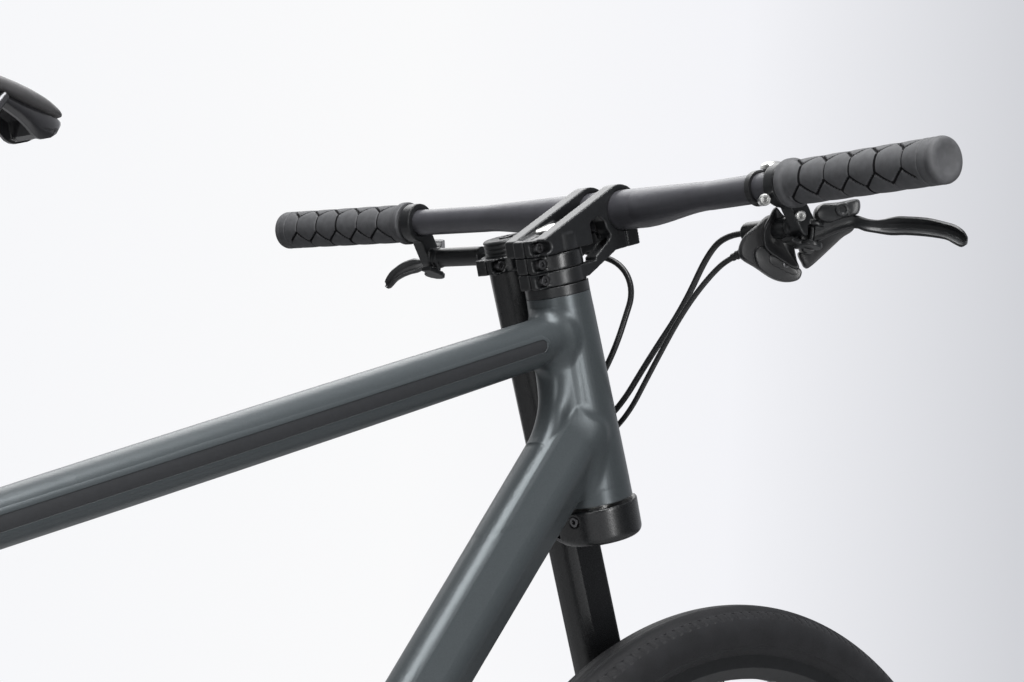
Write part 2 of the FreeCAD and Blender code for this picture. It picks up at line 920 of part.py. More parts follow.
def down_section(share, at):
    depth = sheet.down_tube_depth * share
    wide = sheet.down_tube_half_width * share
    flat = sheet.down_tube_flat_half * share
    keel = sheet.down_tube_keel_half * share
    crease = sheet.down_tube_crease * share
    points = [(depth, -flat), (depth, flat), (crease, wide), (-depth, keel), (-depth, -keel), (crease, -wide)]
    edges = []
    steps = rounded(points, sheet.down_tube_corner * share)
    start = steps[-1][1]
    for step in steps:
        if isinstance(step[0], tuple):
            arc = Part.Arc(Vector(*start, at), Vector(*step[0], at), Vector(*step[1], at))
            edges.append(arc.toShape())
            start = step[1]
        else:
            edges.append(Part.LineSegment(Vector(*start, at), Vector(*step, at)).toShape())
            start = step
    return Part.Wire(edges)


def down_round(share):
    stations = ((sheet.down_tube_foot_share, 0), (1, down_run / 2), (sheet.down_tube_head_share, down_run))
    item = lofted([down_section(size * share, at) for size, at in stations], "DownRound")
    item.Placement = down_place
    return item


down_crest = down_place.multVec(Vector(sheet.down_tube_depth * sheet.down_tube_head_share, 0, down_run))
gusset_high = top_fore - fore_axis * sheet.gusset_back
gusset_corner = meet(down_crest, down_line, gusset_high, steer_axis)
bend_half = down_line.getAngle(steer_axis) / 2
bend_reach = sheet.gusset_bend_radius * math.tan(bend_half)
bend_low = gusset_corner - down_line * bend_reach
bend_high = gusset_corner + steer_axis * bend_reach
bend_out = (steer_axis - down_line).normalize()
bend_mid = gusset_corner + bend_out * (sheet.gusset_bend_radius * (1 / math.cos(bend_half) - 1))
bend_foot = bend_low - down_up * (2 * sheet.gusset_round)
gusset = plate("Gusset", "XZ_Plane", [
    (down_fore.x, down_fore.z),
    (top_fore.x, top_fore.z),
    (gusset_high.x, gusset_high.z),
    (bend_high.x, bend_high.z),
    ((bend_mid.x, bend_mid.z), (bend_low.x, bend_low.z)),
    (bend_foot.x, bend_foot.z),
], "2 * gusset_half_width", middle=True)
doc.recompute()
gusset_soft = doc.addObject("Part::Fillet", "GussetSoft")
gusset_soft.Base = gusset
gusset_soft.Edges = [(number, sheet.gusset_round, sheet.gusset_round)
                     for number, edge in enumerate(gusset.Shape.Edges, start=1) if isinstance(edge.Curve, Part.Circle)]
boss_tools = []
boss_rings = []
for number in range(2):
    foot = down_place.multVec(Vector(-sheet.down_tube_depth * sheet.down_tube_foot_share, 0,
                                     sheet.boss_low + number * sheet.boss_spacing))
    rim = foot - down_up * sheet.boss_height
    boss_rings.append(cylinder("boss_radius", "boss_height + overrun", foot + down_up * sheet.overrun, -down_up))
    boss_tools.append(cylinder("boss_hole_radius", "boss_hole_depth + overrun",
                               rim + down_up * sheet.boss_hole_depth, -down_up))
top_clear = top_round("press_gap")
down_solid = cut(fuse(down_round(1), gusset_soft), top_clear, head_wall, shell_wall)
down_bore = down_round(sheet.down_tube_wall_share)
boss_sleeves = [cylinder("boss_radius", "boss_hole_depth", item.Placement.Base, -down_up) for item in boss_tools]
down_tube = cut(fuse(cut(down_solid, down_bore), *boss_rings, *boss_sleeves), *boss_tools, head_wall, shell_wall,
                seat_wall)
node(down_tube, "down_tube")

# Seat tube and bottom bracket

post_bore = cylinder("post_radius + running_gap", "seat_tube_length", seat_foot + seat_axis * sheet.shell_width, seat_axis)
seat_slot = block("seat_tube_radius * 2", "seat_slot_width", "seat_slot_length * 2",
                  Vector(-sheet.seat_tube_radius * 2, -sheet.seat_slot_width / 2,
                         sheet.seat_tube_length - sheet.seat_slot_length))
seat_slot.Placement = seat_place.multiply(seat_slot.Placement)
seat_tube = cut(cylinder("seat_tube_radius", "seat_tube_length", seat_foot, seat_axis), post_bore, seat_slot, shell_wall)
node(seat_tube, "seat_tube")

shell_half = sheet.shell_width / 2
wheel_turn = Rotation(axis_x, -90)
shell = cut(
    cylinder("shell_radius", "shell_width", Vector(0, 0, -shell_half)),
    cylinder("shell_bore_radius", "shell_width + 2 * overrun", Vector(0, 0, -shell_half - sheet.overrun)),
)
bracket_place = Placement(bracket, wheel_turn)
node(shell, "bottom_bracket_shell", bracket_place)
cup_outer = sheet.shell_bore_radius - sheet.press_gap
cup_inner = sheet.spindle_radius + sheet.running_gap
cups = group(
    bearing(cup_outer, cup_inner, shell_half - sheet.cup_width, shell_half),
    bearing(cup_outer, cup_inner, -shell_half, sheet.cup_width - shell_half),
)
node(cups, "bottom_bracket_cups", bracket_place)

# Chainstays with dropouts

stay_line = (rear_axle - bracket).normalize()
stay_up = Vector(stay_line.z, 0, -stay_line.x)
stay_stations = [
    (getattr(sheet, "stay_%s_at" % name), getattr(sheet, "stay_%s_out" % name),
     getattr(sheet, "stay_%s_up" % name), getattr(sheet, "stay_%s_side" % name))
    for name in ("shell", "sprocket", "tyre", "middle", "rear")
]


def chainstay(side):
    wires = []
    for at, out, half_up, half_side in stay_stations:
        centre = bracket + stay_line * at + axis_y * (side * out)
        wires.append(ring_wire(centre, stay_line, half_up, half_side, stay_up))
    return lofted(wires, "Stay")


dropout_points = [
    (-sheet.dropout_back, -sheet.dropout_low),
    (sheet.dropout_fore, -sheet.dropout_low),
    (sheet.dropout_fore, sheet.dropout_low / 2),
    (sheet.dropout_high_fore, sheet.dropout_high),
    (sheet.dropout_high_back, sheet.dropout_high),
    (-sheet.dropout_back, sheet.dropout_low),
]
caliper_lobe = [
    (-sheet.dropout_back, -sheet.dropout_low),
    (sheet.lobe_fore, -sheet.dropout_low),
    (sheet.lobe_fore, sheet.lobe_high),
    (sheet.dropout_high_fore, sheet.dropout_high),
    (sheet.dropout_high_back, sheet.dropout_high),
    (-sheet.dropout_back, sheet.dropout_low),
]


def dropout(points, side):
    base = plate("Dropout", "XZ_Plane", rounded(points, sheet.dropout_corner), "dropout_thickness",
                 [(sheet.eyelet_fore, sheet.eyelet_up, sheet.eyelet_radius)], True)
    base.Placement = Placement(rear_axle + axis_y * (side * dropout_middle), Rotation())
    return base


dropout_middle = sheet.dropout_inner + sheet.dropout_thickness / 2
axle_slots = []
for side in (1, -1):
    start = rear_axle + axis_y * (side * dropout_middle - sheet.dropout_thickness)
    axle_slots.append(cylinder("dropout_slot_radius", "2 * dropout_thickness", start, axis_y))
    corner = start - Vector(sheet.dropout_back * 2, 0, sheet.dropout_slot_radius)
    axle_slots.append(block("dropout_back * 2", "2 * dropout_thickness", "2 * dropout_slot_radius", corner))

# The rear caliper sits between the stays, its two bolts through the left dropout's forward lobe.
rear_turn = math.radians(sheet.rear_caliper_angle)
rear_radial = Vector(math.cos(rear_turn), 0, math.sin(rear_turn))
rear_tangent = Vector(math.sin(rear_turn), 0, -math.cos(rear_turn))
rear_caliper_at = rear_axle + rear_radial * sheet.caliper_reach + axis_y * sheet.rear_rotor_y


def caliper_bolts(centre, tangent, outward, start, reach, radius):
    bolts = []
    for side in (1, -1):
        foot = centre + tangent * (side * sheet.caliper_bolt_apart) + outward * start
        bolts.append(cylinder(radius, reach, foot, outward))
    return bolts


lobe_outer = sheet.dropout_inner + sheet.dropout_thickness - sheet.rear_rotor_y
bolt_holes = caliper_bolts(rear_caliper_at, rear_tangent, axis_y, 0, lobe_outer + sheet.overrun,
                           "caliper_bolt_radius + press_gap")
eyelet_tools = []
for side in (1, -1):
    foot = rear_axle + Vector(sheet.eyelet_fore, side * sheet.dropout_inner / 2, sheet.eyelet_up)
    eyelet_tools.append(cylinder("eyelet_radius", "dropout_inner", foot, axis_y * side))
left_stay = cut(fuse(chainstay(1), dropout(caliper_lobe, 1)), shell_wall, seat_wall, *axle_slots[:2], *bolt_holes,
                eyelet_tools[0])
right_stay = cut(fuse(chainstay(-1), dropout(dropout_points, -1)), shell_wall, seat_wall, *axle_slots[2:],
                 eyelet_tools[1])
node(group(left_stay, right_stay), "chainstays")

# Seatstays with a bridge above the tyre

seatstay_top = seat_foot + seat_axis * (sheet.seat_tube_length - sheet.stay_seat_drop)
seatstay_foot = rear_axle + Vector(sheet.seatstay_foot_fore, 0, sheet.seatstay_foot_up)
seatstay_line = (seatstay_foot - seatstay_top).normalize()
seatstay_run = (seatstay_foot - seatstay_top).Length
seatstay_stations = (
    (0, sheet.stay_seat_offset, sheet.seatstay_top_half),
    (sheet.seatstay_tyre_share, sheet.seatstay_tyre_out, sheet.seatstay_top_half),
    (sheet.seatstay_low_share, sheet.seatstay_low_out, sheet.seatstay_foot_half),
    (1, sheet.seatstay_foot_out, sheet.seatstay_foot_half),
)


def seatstay(side):
    wires = []
    for share, out, half in seatstay_stations:
        centre = seatstay_top + seatstay_line * (seatstay_run * share) + axis_y * (side * out)
        wires.append(ring_wire(centre, seatstay_line, half))
    return lofted(wires, "Seatstay")


bridge_at = seatstay_top + seatstay_line * (seatstay_run * sheet.bridge_share)
bridge = cylinder("bridge_radius", "2 * bridge_half", bridge_at - axis_y * sheet.bridge_half, axis_y)
dropout_clear = [
    block("dropout_fore * 4", "dropout_thickness + 2 * press_gap", "dropout_high * 4",
          rear_axle + Vector(-sheet.dropout_fore * 2, side * dropout_middle - sheet.dropout_thickness / 2
                             - sheet.press_gap, -sheet.dropout_high * 2))
    for side in (1, -1)
]
seatstays = cut(fuse(seatstay(1), seatstay(-1), bridge), seat_wall, *dropout_clear)
node(seatstays, "seatstays")

# Seat clamp and its bolt

clamp_low = sheet.seat_tube_length - sheet.clamp_height - sheet.gap
clamp_outer = "seat_tube_radius + clamp_wall"
ear_reach = sheet.seat_tube_radius + sheet.clamp_wall + sheet.clamp_ear
ear_half = sheet.clamp_ear
clamp_bolt_x = sheet.clamp_ear * sheet.clamp_bolt_share - ear_reach
clamp_mid = clamp_low + sheet.clamp_height / 2
clamp_ring = cut(
    fuse(
        cylinder(clamp_outer, "clamp_height", Vector(0, 0, clamp_low)),
        block(ear_reach, "2 * clamp_ear", "clamp_height", Vector(-ear_reach, -ear_half, clamp_low)),
    ),
    cylinder("seat_tube_radius + press_gap", "clamp_height * 2", Vector(0, 0, clamp_low - sheet.overrun)),
    block(ear_reach, "seat_slot_width", "clamp_height * 2",
          Vector(-ear_reach - sheet.overrun, -sheet.seat_slot_width / 2, clamp_low - sheet.overrun)),
    cylinder("stem_bolt_radius + press_gap", "4 * clamp_ear", Vector(clamp_bolt_x, -2 * ear_half, clamp_mid), axis_y),
)
clamp_bolt = fuse(
    cylinder("stem_bolt_radius", "2 * clamp_ear + press_gap", Vector(clamp_bolt_x, -ear_half, clamp_mid), axis_y),
    cylinder("stem_head_radius", "stem_head_height", Vector(clamp_bolt_x, ear_half + sheet.press_gap, clamp_mid), axis_y),
)
node(group(clamp_ring, clamp_bolt), "seat_clamp", seat_place)

# Rear axle with washers and nuts


def nut(foot, axis):
    points = [
        (sheet.nut_radius * math.cos(math.radians(60 * turn)), sheet.nut_radius * math.sin(math.radians(60 * turn)))
        for turn in range(6)
    ]
    hexagon = plate("Nut", "XY_Plane", points, "nut_height", [(0, 0, sheet.rear_axle_radius + sheet.press_gap)])
    hexagon.Placement = Placement(foot, along(axis))
    return hexagon


axle_pieces = [cylinder("rear_axle_radius", "2 * axle_half", rear_axle - axis_y * sheet.axle_half, axis_y)]
for side in (1, -1):
    outer = rear_axle + axis_y * (side * (sheet.dropout_inner + sheet.dropout_thickness + sheet.press_gap))
    hole = cylinder("rear_axle_radius + press_gap", "washer_height * 3", outer - axis_y * (side * sheet.washer_height),
                    axis_y * side)
    axle_pieces.append(cut(cylinder("washer_radius", "washer_height", outer, axis_y * side), hole))
    axle_pieces.append(nut(outer + axis_y * (side * (sheet.washer_height + sheet.press_gap)), axis_y * side))
node(group(*axle_pieces), "rear_axle")

# Wheels, built about Z and turned to spin about Y

front_wheel_place = fork_place.multiply(
    Placement(Vector(sheet.rake, 0, -sheet.crown_to_axle), wheel_turn))
rear_wheel_place = Placement(rear_axle, wheel_turn)


def circle_centre(first, second, third):
    return Part.Circle(Vector(*first), Vector(*second), Vector(*third)).Center


def toward(point, centre, reach):
    start = Vector(*point)
    moved_point = start + (centre - start).normalize() * reach
    return (moved_point.x, moved_point.y)


def tyre():
    lip = sheet.rim_lip_radius
    bead = sheet.rim_half_width - sheet.rim_lip - sheet.gap
    foot = sheet.bead_radius
    crown = sheet.wheel_radius
    wide = sheet.tyre_half_width
    wall = sheet.tyre_wall
    belly = lip + (crown - lip) * sheet.tyre_belly_share
    shoulder = (crown - sheet.tyre_shoulder_drop, sheet.tyre_shoulder_half)
    centre = circle_centre((lip, bead), (belly, wide), shoulder)
    low = toward((lip, bead), centre, wall)
    middle = toward((belly, wide), centre, wall)
    high = toward(shoulder, centre, wall)

    def other(point):
        return (point[0], -point[1])

    return turned("Tyre", [
        (foot, bead - wall),
        (foot, bead),
        (lip, bead),
        ((belly, wide), shoulder),
        ((crown, 0), other(shoulder)),
        (other((belly, wide)), (lip, -bead)),
        (foot, -bead),
        (foot, wall - bead),
        other(low),
        (other(middle), other(high)),
        ((crown - wall, 0), high),
        (middle, low),
    ])


def rim():
    half = sheet.rim_half_width
    wall = sheet.rim_lip
    lip = sheet.rim_lip_radius
    inner = sheet.rim_inner_radius
    flank = sheet.rim_flank_radius
    keel = sheet.rim_keel_half
    return turned("Rim", [
        (lip, half),
        (flank, half),
        (inner, keel),
        (inner, -keel),
        (flank, -half),
        (lip, -half),
        (lip, wall - half),
        (flank + wall / 2, wall - half),
        (inner + wall, wall / 2 - keel),
        (inner + wall, keel - wall / 2),
        (flank + wall / 2, half - wall),
        (lip, half - wall),
    ])


def spokes(flange_radius, left, right):
    count = int(sheet.spoke_count)
    reach = sheet.rim_inner_radius - sheet.spoke_clear
    foot = flange_radius - sheet.spoke_foot
    aside = sheet.flange_thickness / 2 + sheet.spoke_radius + sheet.spoke_clear
    solids = []
    for index in range(count):
        turn = 2 * math.pi * index / count
        twist = 1 if (index // 2) % 2 else -1
        hub_turn = turn + twist * math.radians(sheet.spoke_cross)
        level = left if index % 2 else -right
        start = Vector(foot * math.cos(hub_turn), foot * math.sin(hub_turn), level + twist * aside)
        end = Vector(reach * math.cos(turn), reach * math.sin(turn), 0)
        heading = (end - start).normalize()
        length = (end - start).Length
        wire = Part.makeCylinder(sheet.spoke_radius, length, start, heading)
        tail = Part.makeCylinder(sheet.nipple_radius, sheet.nipple_length, end - heading * sheet.nipple_length, heading)
        solids.append(wire.fuse(tail).removeSplitter())
    return shaped(Part.makeCompound(solids), "Spokes")


def hub(steps_left, steps_right, left, right, flange, waist, bore):
    half = sheet.flange_thickness / 2
    inner = waist
    return turned("Hub", [
        (bore, steps_left[-1][1]),
        *[(radius, at) for radius, at in reversed(steps_left)],
        (flange, left + half),
        (flange, left - half),
        (inner, left - half - sheet.flange_thickness),
        (inner, -right + half + sheet.flange_thickness),
        (flange, -right + half),
        (flange, -right - half),
        *[(radius, at) for radius, at in steps_right],
        (bore, steps_right[-1][1]),
    ])


def rotor():
    body = doc.addObject("PartDesign::Body", "Rotor")
    sketch = sketch_on(body, "XY_Plane")
    circle(sketch, 0, 0, sheet.rotor_radius)
    circle(sketch, 0, 0, sheet.rotor_bore)
    pad = body.newObject("PartDesign::Pad", "Disc")
    pad.Profile = sketch
    bind(pad, Length="rotor_thickness")
    pad.Midplane = True
    body.Tip = pad
    doc.recompute()
    low = sheet.rotor_hub_radius
    high = sheet.rotor_radius - sheet.rotor_band
    step = 2 * math.pi / sheet.rotor_arms
    near = math.asin(sheet.rotor_arm_half / low)
    far = math.asin(sheet.rotor_arm_half / high)

    def polar(radius, turn):
        return (radius * math.cos(turn), radius * math.sin(turn))

    openings = sketch_on(body, "XY_Plane")
    for number in range(int(sheet.rotor_arms)):
        start = step * number
        outline(openings, [
            polar(high, start + far),
            (polar(high, start + step / 2), polar(high, start + step - far)),
            polar(low, start + step - near),
            (polar(low, start + step / 2), polar(low, start + near)),
        ])
    for number in range(int(sheet.rotor_vents)):
        circle(openings, *polar(sheet.rotor_radius - sheet.rotor_band / 2, 2 * math.pi * number / sheet.rotor_vents),
               sheet.rotor_vent_radius)
    pocket = body.newObject("PartDesign::Pocket", "Openings")
    pocket.Profile = openings
    pocket.Type = "ThroughAll"
    pocket.Midplane = True
    body.Tip = pocket
    return body


rotor_half = sheet.rotor_thickness / 2
for shape, label in ((tyre(), "tyre"), (rim(), "rim")):
    node(moved(shape, front_wheel_place), "front_" + label)
    node(moved(shape, rear_wheel_place), "rear_" + label)
node(spokes(sheet.front_flange_radius, sheet.front_left_flange, sheet.front_right_flange), "front_spokes",
     front_wheel_place)
node(spokes(sheet.rear_flange_radius, sheet.rear_flange_offset, sheet.rear_flange_offset), "rear_spokes",
     rear_wheel_place)
front_face = sheet.front_rotor_y - rotor_half - sheet.press_gap
rear_face = sheet.rear_rotor_y - rotor_half - sheet.press_gap
belt_half = sheet.belt_width / 2
front_hub = hub(
    [(sheet.front_hub_radius, sheet.front_left_flange + sheet.flange_thickness), (sheet.rotor_hub_radius, front_face
     - sheet.flange_thickness), (sheet.rotor_hub_radius, front_face)],
    [(sheet.front_hub_radius, -sheet.front_right_flange - sheet.flange_thickness),
     (sheet.front_hub_radius, -sheet.front_hub_right)],
    sheet.front_left_flange, sheet.front_right_flange, sheet.front_flange_radius, sheet.front_hub_radius,
    sheet.front_axle_radius + sheet.running_gap,
)
node(front_hub, "front_hub", front_wheel_place)
rear_hub = hub(
    [(sheet.rear_hub_radius, sheet.rear_flange_offset + sheet.flange_thickness), (sheet.rotor_hub_radius, rear_face
     - sheet.flange_thickness), (sheet.rotor_hub_radius, rear_face)],
    [(sheet.rear_hub_radius, -sheet.rear_flange_offset - sheet.flange_thickness),
     (sheet.rear_hub_radius, -sheet.rear_hub_half),
     (sheet.rear_boss_radius, -sheet.rear_hub_half),
     (sheet.rear_boss_radius, -sheet.rear_boss_end)],
    sheet.rear_flange_offset, sheet.rear_flange_offset, sheet.rear_flange_radius, sheet.rear_hub_radius,
    sheet.rear_axle_radius + sheet.running_gap,
)
node(rear_hub, "rear_hub", rear_wheel_place)
disc = rotor()
node(moved(disc, front_wheel_place.multiply(Placement(Vector(0, 0, sheet.front_rotor_y), Rotation()))), "front_rotor")
node(moved(disc, rear_wheel_place.multiply(Placement(Vector(0, 0, sheet.rear_rotor_y), Rotation()))), "rear_rotor")

# Calipers: a rounded body slotted for the rotor, held by two bolts


def caliper_body(place, bolts):
    length = sheet.caliper_half_length
    height = sheet.caliper_half_height
    thick = 2 * sheet.caliper_side + sheet.caliper_slot
    points = [(-length, -height), (length, -height), (length, height), (-length, height)]
    body = plate("CaliperBody", "XY_Plane", rounded(points, sheet.caliper_corner),
                 "2 * caliper_side + caliper_slot", middle=True)
    slot = block("4 * caliper_half_length", "caliper_slot_depth * 2", "caliper_slot",
                 Vector(-2 * length, -height - sheet.caliper_slot_depth, -sheet.caliper_slot / 2))
    tools = [slot]
    body.Placement = place
    slot.Placement = place.multiply(slot.Placement)
    return cut(body, *tools, *bolts)


def bolt_with_head(foot, axis, length, radius="caliper_bolt_radius", head="caliper_head_radius",
                   head_height="caliper_head_height"):
    return fuse(cylinder(radius, length, foot, axis), cylinder(head, head_height, foot + axis * length, axis))


rear_caliper_place = Placement(rear_caliper_at, Rotation(rear_tangent * -1, rear_radial, axis_y, "ZYX"))
rear_bolts = []
for side in (1, -1):
    foot = rear_caliper_at + rear_tangent * (side * sheet.caliper_bolt_apart) + axis_y * sheet.caliper_slot
    reach = lobe_outer - sheet.caliper_slot + sheet.press_gap
    rear_bolts.append(bolt_with_head(foot, axis_y, reach))
node(group(caliper_body(rear_caliper_place, bolt_holes), *rear_bolts), "rear_caliper")

# Toothed belt and sprockets. The path starts where the upper run leaves the front sprocket.

belt_tilt = math.asin((pitch_front - pitch_rear) / belt_centres)
upper_run = belt_centres * math.cos(belt_tilt)
rear_wrap = pitch_rear * (math.pi - 2 * belt_tilt)
front_wrap = pitch_front * (math.pi + 2 * belt_tilt)
belt_whole = sheet.belt_teeth * sheet.belt_pitch


def loop_point(along_path, level):
    up_lean = math.pi / 2 - belt_tilt
    at = along_path % belt_whole
    if at < upper_run:
        turn = up_lean
        centre = Vector(pitch_front * math.cos(turn) + at * math.cos(belt_tilt),
                        pitch_front * math.sin(turn) - at * math.sin(belt_tilt))
        return centre + Vector(math.cos(turn), math.sin(turn)) * level
    at -= upper_run
    if at < rear_wrap:
        turn = up_lean - at / pitch_rear
        return Vector(belt_centres, 0) + Vector(math.cos(turn), math.sin(turn)) * (pitch_rear + level)
    at -= rear_wrap
    if at < upper_run:
        turn = -up_lean
        centre = Vector(belt_centres + pitch_rear * math.cos(turn) - at * math.cos(belt_tilt),
                        pitch_rear * math.sin(turn) - at * math.sin(belt_tilt))
        return centre + Vector(math.cos(turn), math.sin(turn)) * level
    at -= upper_run
    turn = -up_lean - at / pitch_front
    return Vector(math.cos(turn), math.sin(turn)) * (pitch_front + level)


belt_inner = []
for tooth in range(int(sheet.belt_teeth)):
    for reach, level in ((-sheet.belt_tooth_root_half, 0), (-sheet.belt_tooth_tip_half, sheet.belt_tooth_depth),
                         (sheet.belt_tooth_tip_half, sheet.belt_tooth_depth), (sheet.belt_tooth_root_half, 0)):
        belt_inner.append(loop_point(tooth * sheet.belt_pitch + reach, -sheet.belt_land - level))
corners = [loop_point(at, sheet.belt_back) for at in (0, upper_run, upper_run + rear_wrap, 2 * upper_run + rear_wrap)]
belt_outer = Part.Wire([
    Part.LineSegment(corners[0], corners[1]).toShape(),
    Part.Arc(corners[1], loop_point(upper_run + rear_wrap / 2, sheet.belt_back), corners[2]).toShape(),
    Part.LineSegment(corners[2], corners[3]).toShape(),
    Part.Arc(corners[3], loop_point(belt_whole - front_wrap / 2, sheet.belt_back), corners[0]).toShape(),
])
belt_face = Part.makeFace([belt_outer, Part.makePolygon(belt_inner + belt_inner[:1])], "Part::FaceMakerBullseye")
drive_place = Placement(bracket - axis_y * sheet.belt_line, Rotation(stay_line, stay_up, axis_y, "ZXY"))
belt = shaped(belt_face.extrude(axis_z * sheet.belt_width), "Belt")
belt.Placement = drive_place.multiply(Placement(axis_z * -belt_half, Rotation()))
node(belt, "drive_belt")


def sprocket_steps(teeth, pitch_radius, phase):
    top = pitch_radius - sheet.belt_land - sheet.sprocket_tip_clear
    root = pitch_radius - sheet.belt_land - sheet.belt_tooth_depth - sheet.sprocket_gap_clear
    mouth = (sheet.belt_tooth_root_half + sheet.sprocket_gap_clear) / pitch_radius
    floor = (sheet.belt_tooth_tip_half + sheet.sprocket_gap_clear) / pitch_radius
    steps = []
    for tooth in range(int(teeth)):
        middle = phase + 2 * math.pi * tooth / teeth
        for turn, radius in ((-mouth, top), (-floor, root), (floor, root), (mouth, top)):
            steps.append((radius * math.cos(middle + turn), radius * math.sin(middle + turn)))
    return steps


first_phase = math.pi / 2 - belt_tilt
late = (-upper_run) % sheet.belt_pitch
rear_phase = first_phase - late / pitch_rear
front_ring = plate("FrontSprocket", "XY_Plane", sprocket_steps(sheet.front_teeth, pitch_front, first_phase),
                   "belt_width", [(0, 0, sheet.spindle_radius + sheet.press_gap)], True)
arm_step = 2 * math.pi / sheet.sprocket_arms
sprocket_windows = []
for number in range(int(sheet.sprocket_arms)):
    middle = arm_step * number
    near = arm_step / 2 - math.asin(sheet.sprocket_arm_half / sheet.front_sprocket_hub)
    far = arm_step / 2 - math.asin(sheet.sprocket_arm_half / sheet.front_sprocket_inner)

    def spot(radius, turn):
        return (radius * math.cos(middle + turn), radius * math.sin(middle + turn))

    hub_radius = sheet.front_sprocket_hub
    inner = sheet.front_sprocket_inner
    sprocket_windows.append(plate("SprocketWindow", "XY_Plane", [
        spot(inner, -far), (spot(inner, 0), spot(inner, far)),
        spot(hub_radius, near), (spot(hub_radius, 0), spot(hub_radius, -near)),
    ], "belt_width * 2", (), True))
hub_tail = cut(
    cylinder("front_sprocket_hub", sheet.sprocket_hub_end - sheet.belt_line, Vector(0, 0, sheet.belt_line
             - sheet.sprocket_hub_end)),
    cylinder("spindle_radius + press_gap", "shell_width", Vector(0, 0, -sheet.belt_line)),
)
front_sprocket = fuse(cut(front_ring, *sprocket_windows), hub_tail)
node(moved(front_sprocket, drive_place), "front_sprocket")
rear_sprocket = plate("RearSprocket", "XY_Plane", sprocket_steps(sheet.rear_teeth, pitch_rear, rear_phase),
                      "belt_width", [(0, 0, sheet.rear_sprocket_bore)], True)
node(moved(rear_sprocket, drive_place.multiply(Placement(axis_x * belt_centres, Rotation()))), "rear_sprocket")

# Cranks and pedals


def crank_arm(hole):
    holes = [(sheet.crank_length, 0, sheet.pedal_axle_radius + sheet.press_gap)]
    if hole:
        holes.append((0, 0, sheet.spindle_radius + sheet.press_gap))
    return plate("CrankArm", "XZ_Plane", hull_of_two(sheet.crank_big_radius, 0, sheet.crank_small_radius,
                                                     sheet.crank_length), "crank_thickness", holes, True)


crank_outer = sheet.crank_inner + sheet.crank_thickness
arm_middle = sheet.crank_inner + sheet.crank_thickness / 2
right_arm = crank_arm(False)
right_arm.Placement = Placement(bracket - axis_y * arm_middle, Rotation(axis_y, sheet.crank_turn))
spindle = cylinder("spindle_radius", "2 * crank_inner + 2 * crank_thickness", bracket - axis_y * crank_outer, axis_y)
node(fuse(right_arm, spindle), "crank_right")
left_arm = crank_arm(True)
node(left_arm, "crank_left", Placement(bracket + axis_y * arm_middle, Rotation(axis_y, sheet.crank_turn + 180)))

right_pedal_at = bracket + right_arm.Placement.Rotation.multVec(axis_x) * sheet.crank_length
left_pedal_at = bracket - right_arm.Placement.Rotation.multVec(axis_x) * sheet.crank_length
pedal_out = crank_outer + sheet.pedal_clear + sheet.pedal_half_width
pin_start = crank_outer + sheet.pedal_clear - sheet.overrun
pin_end = pedal_out + sheet.pedal_half_width - sheet.pedal_pin_inset


def pedal_axle(at, side):
    outward = axis_y * side
    return fuse(
        cylinder("pedal_axle_radius", "crank_thickness + press_gap", at + outward * sheet.crank_inner, outward),
        cylinder("pedal_axle_collar", pin_start - crank_outer - sheet.press_gap,
                 at + outward * (crank_outer + sheet.press_gap), outward),
        cylinder("pedal_pin_radius", pin_end - pin_start, at + outward * pin_start, outward),
    )


def pedal():
    wide = sheet.pedal_half_width
    length = sheet.pedal_half_length
    rail = sheet.pedal_rail
    barrel = sheet.pedal_barrel_radius
    frame = plate("Pedal", "XY_Plane", rounded([(-length, -wide), (length, -wide), (length, wide), (-length, wide)],
                                               sheet.pedal_corner), "2 * pedal_half_height", middle=True)
    windows = [
        block(length - rail - barrel, "2 * pedal_half_width - 2 * pedal_rail", "4 * pedal_half_height",
              Vector(start, rail - wide, -2 * sheet.pedal_half_height))
        for start in (barrel, rail - length)
    ]
    foot = Vector(0, -wide, 0)
    solid = fuse(cut(frame, *windows), cylinder("pedal_barrel_radius", "2 * pedal_half_width", foot, axis_y))
    return cut(solid, cylinder("pedal_pin_radius + running_gap", "4 * pedal_half_width", foot * 2, axis_y))


node(group(pedal_axle(right_pedal_at, -1), pedal_axle(left_pedal_at, 1)), "pedal_axles")
pedal_body = pedal()
node(moved(pedal_body, Placement(right_pedal_at - axis_y * pedal_out, Rotation())), "pedal_right")
node(moved(pedal_body, Placement(left_pedal_at + axis_y * pedal_out, Rotation())), "pedal_left")

# Seatpost, saddle rails, base and padded cover

rail_z = sheet.saddle_top_z - sheet.rail_drop
block_half = sheet.head_block_height / 2
post_reach = (rail_z - seat_foot.z) / seat_axis.z - block_half / 2
post_low = sheet.seat_tube_length - sheet.post_insert
post_length = post_reach - post_low
post_head = seat_foot + seat_axis * post_reach
head_corner = Vector(post_head.x - sheet.post_setback - sheet.head_block_length / 2, -sheet.head_block_width / 2,
                     rail_z - block_half)
rail_points = [
    Vector(sheet.nose_x - sheet.rail_nose_at, sheet.rail_nose_half, rail_z + sheet.rail_nose_rise),
    Vector(sheet.nose_x - sheet.rail_fore_at, sheet.rail_half_gap, rail_z),
    Vector(sheet.nose_x - sheet.rail_aft_at, sheet.rail_half_gap, rail_z),
    Vector(sheet.nose_x - sheet.rail_tail_at, sheet.rail_tail_half, rail_z + sheet.rail_tail_rise),
]


def rails(radius):
    left = cord("rail", rail_points, [sheet.rail_bend, sheet.rail_bend], radius)
    return group(left, mirrored(left))


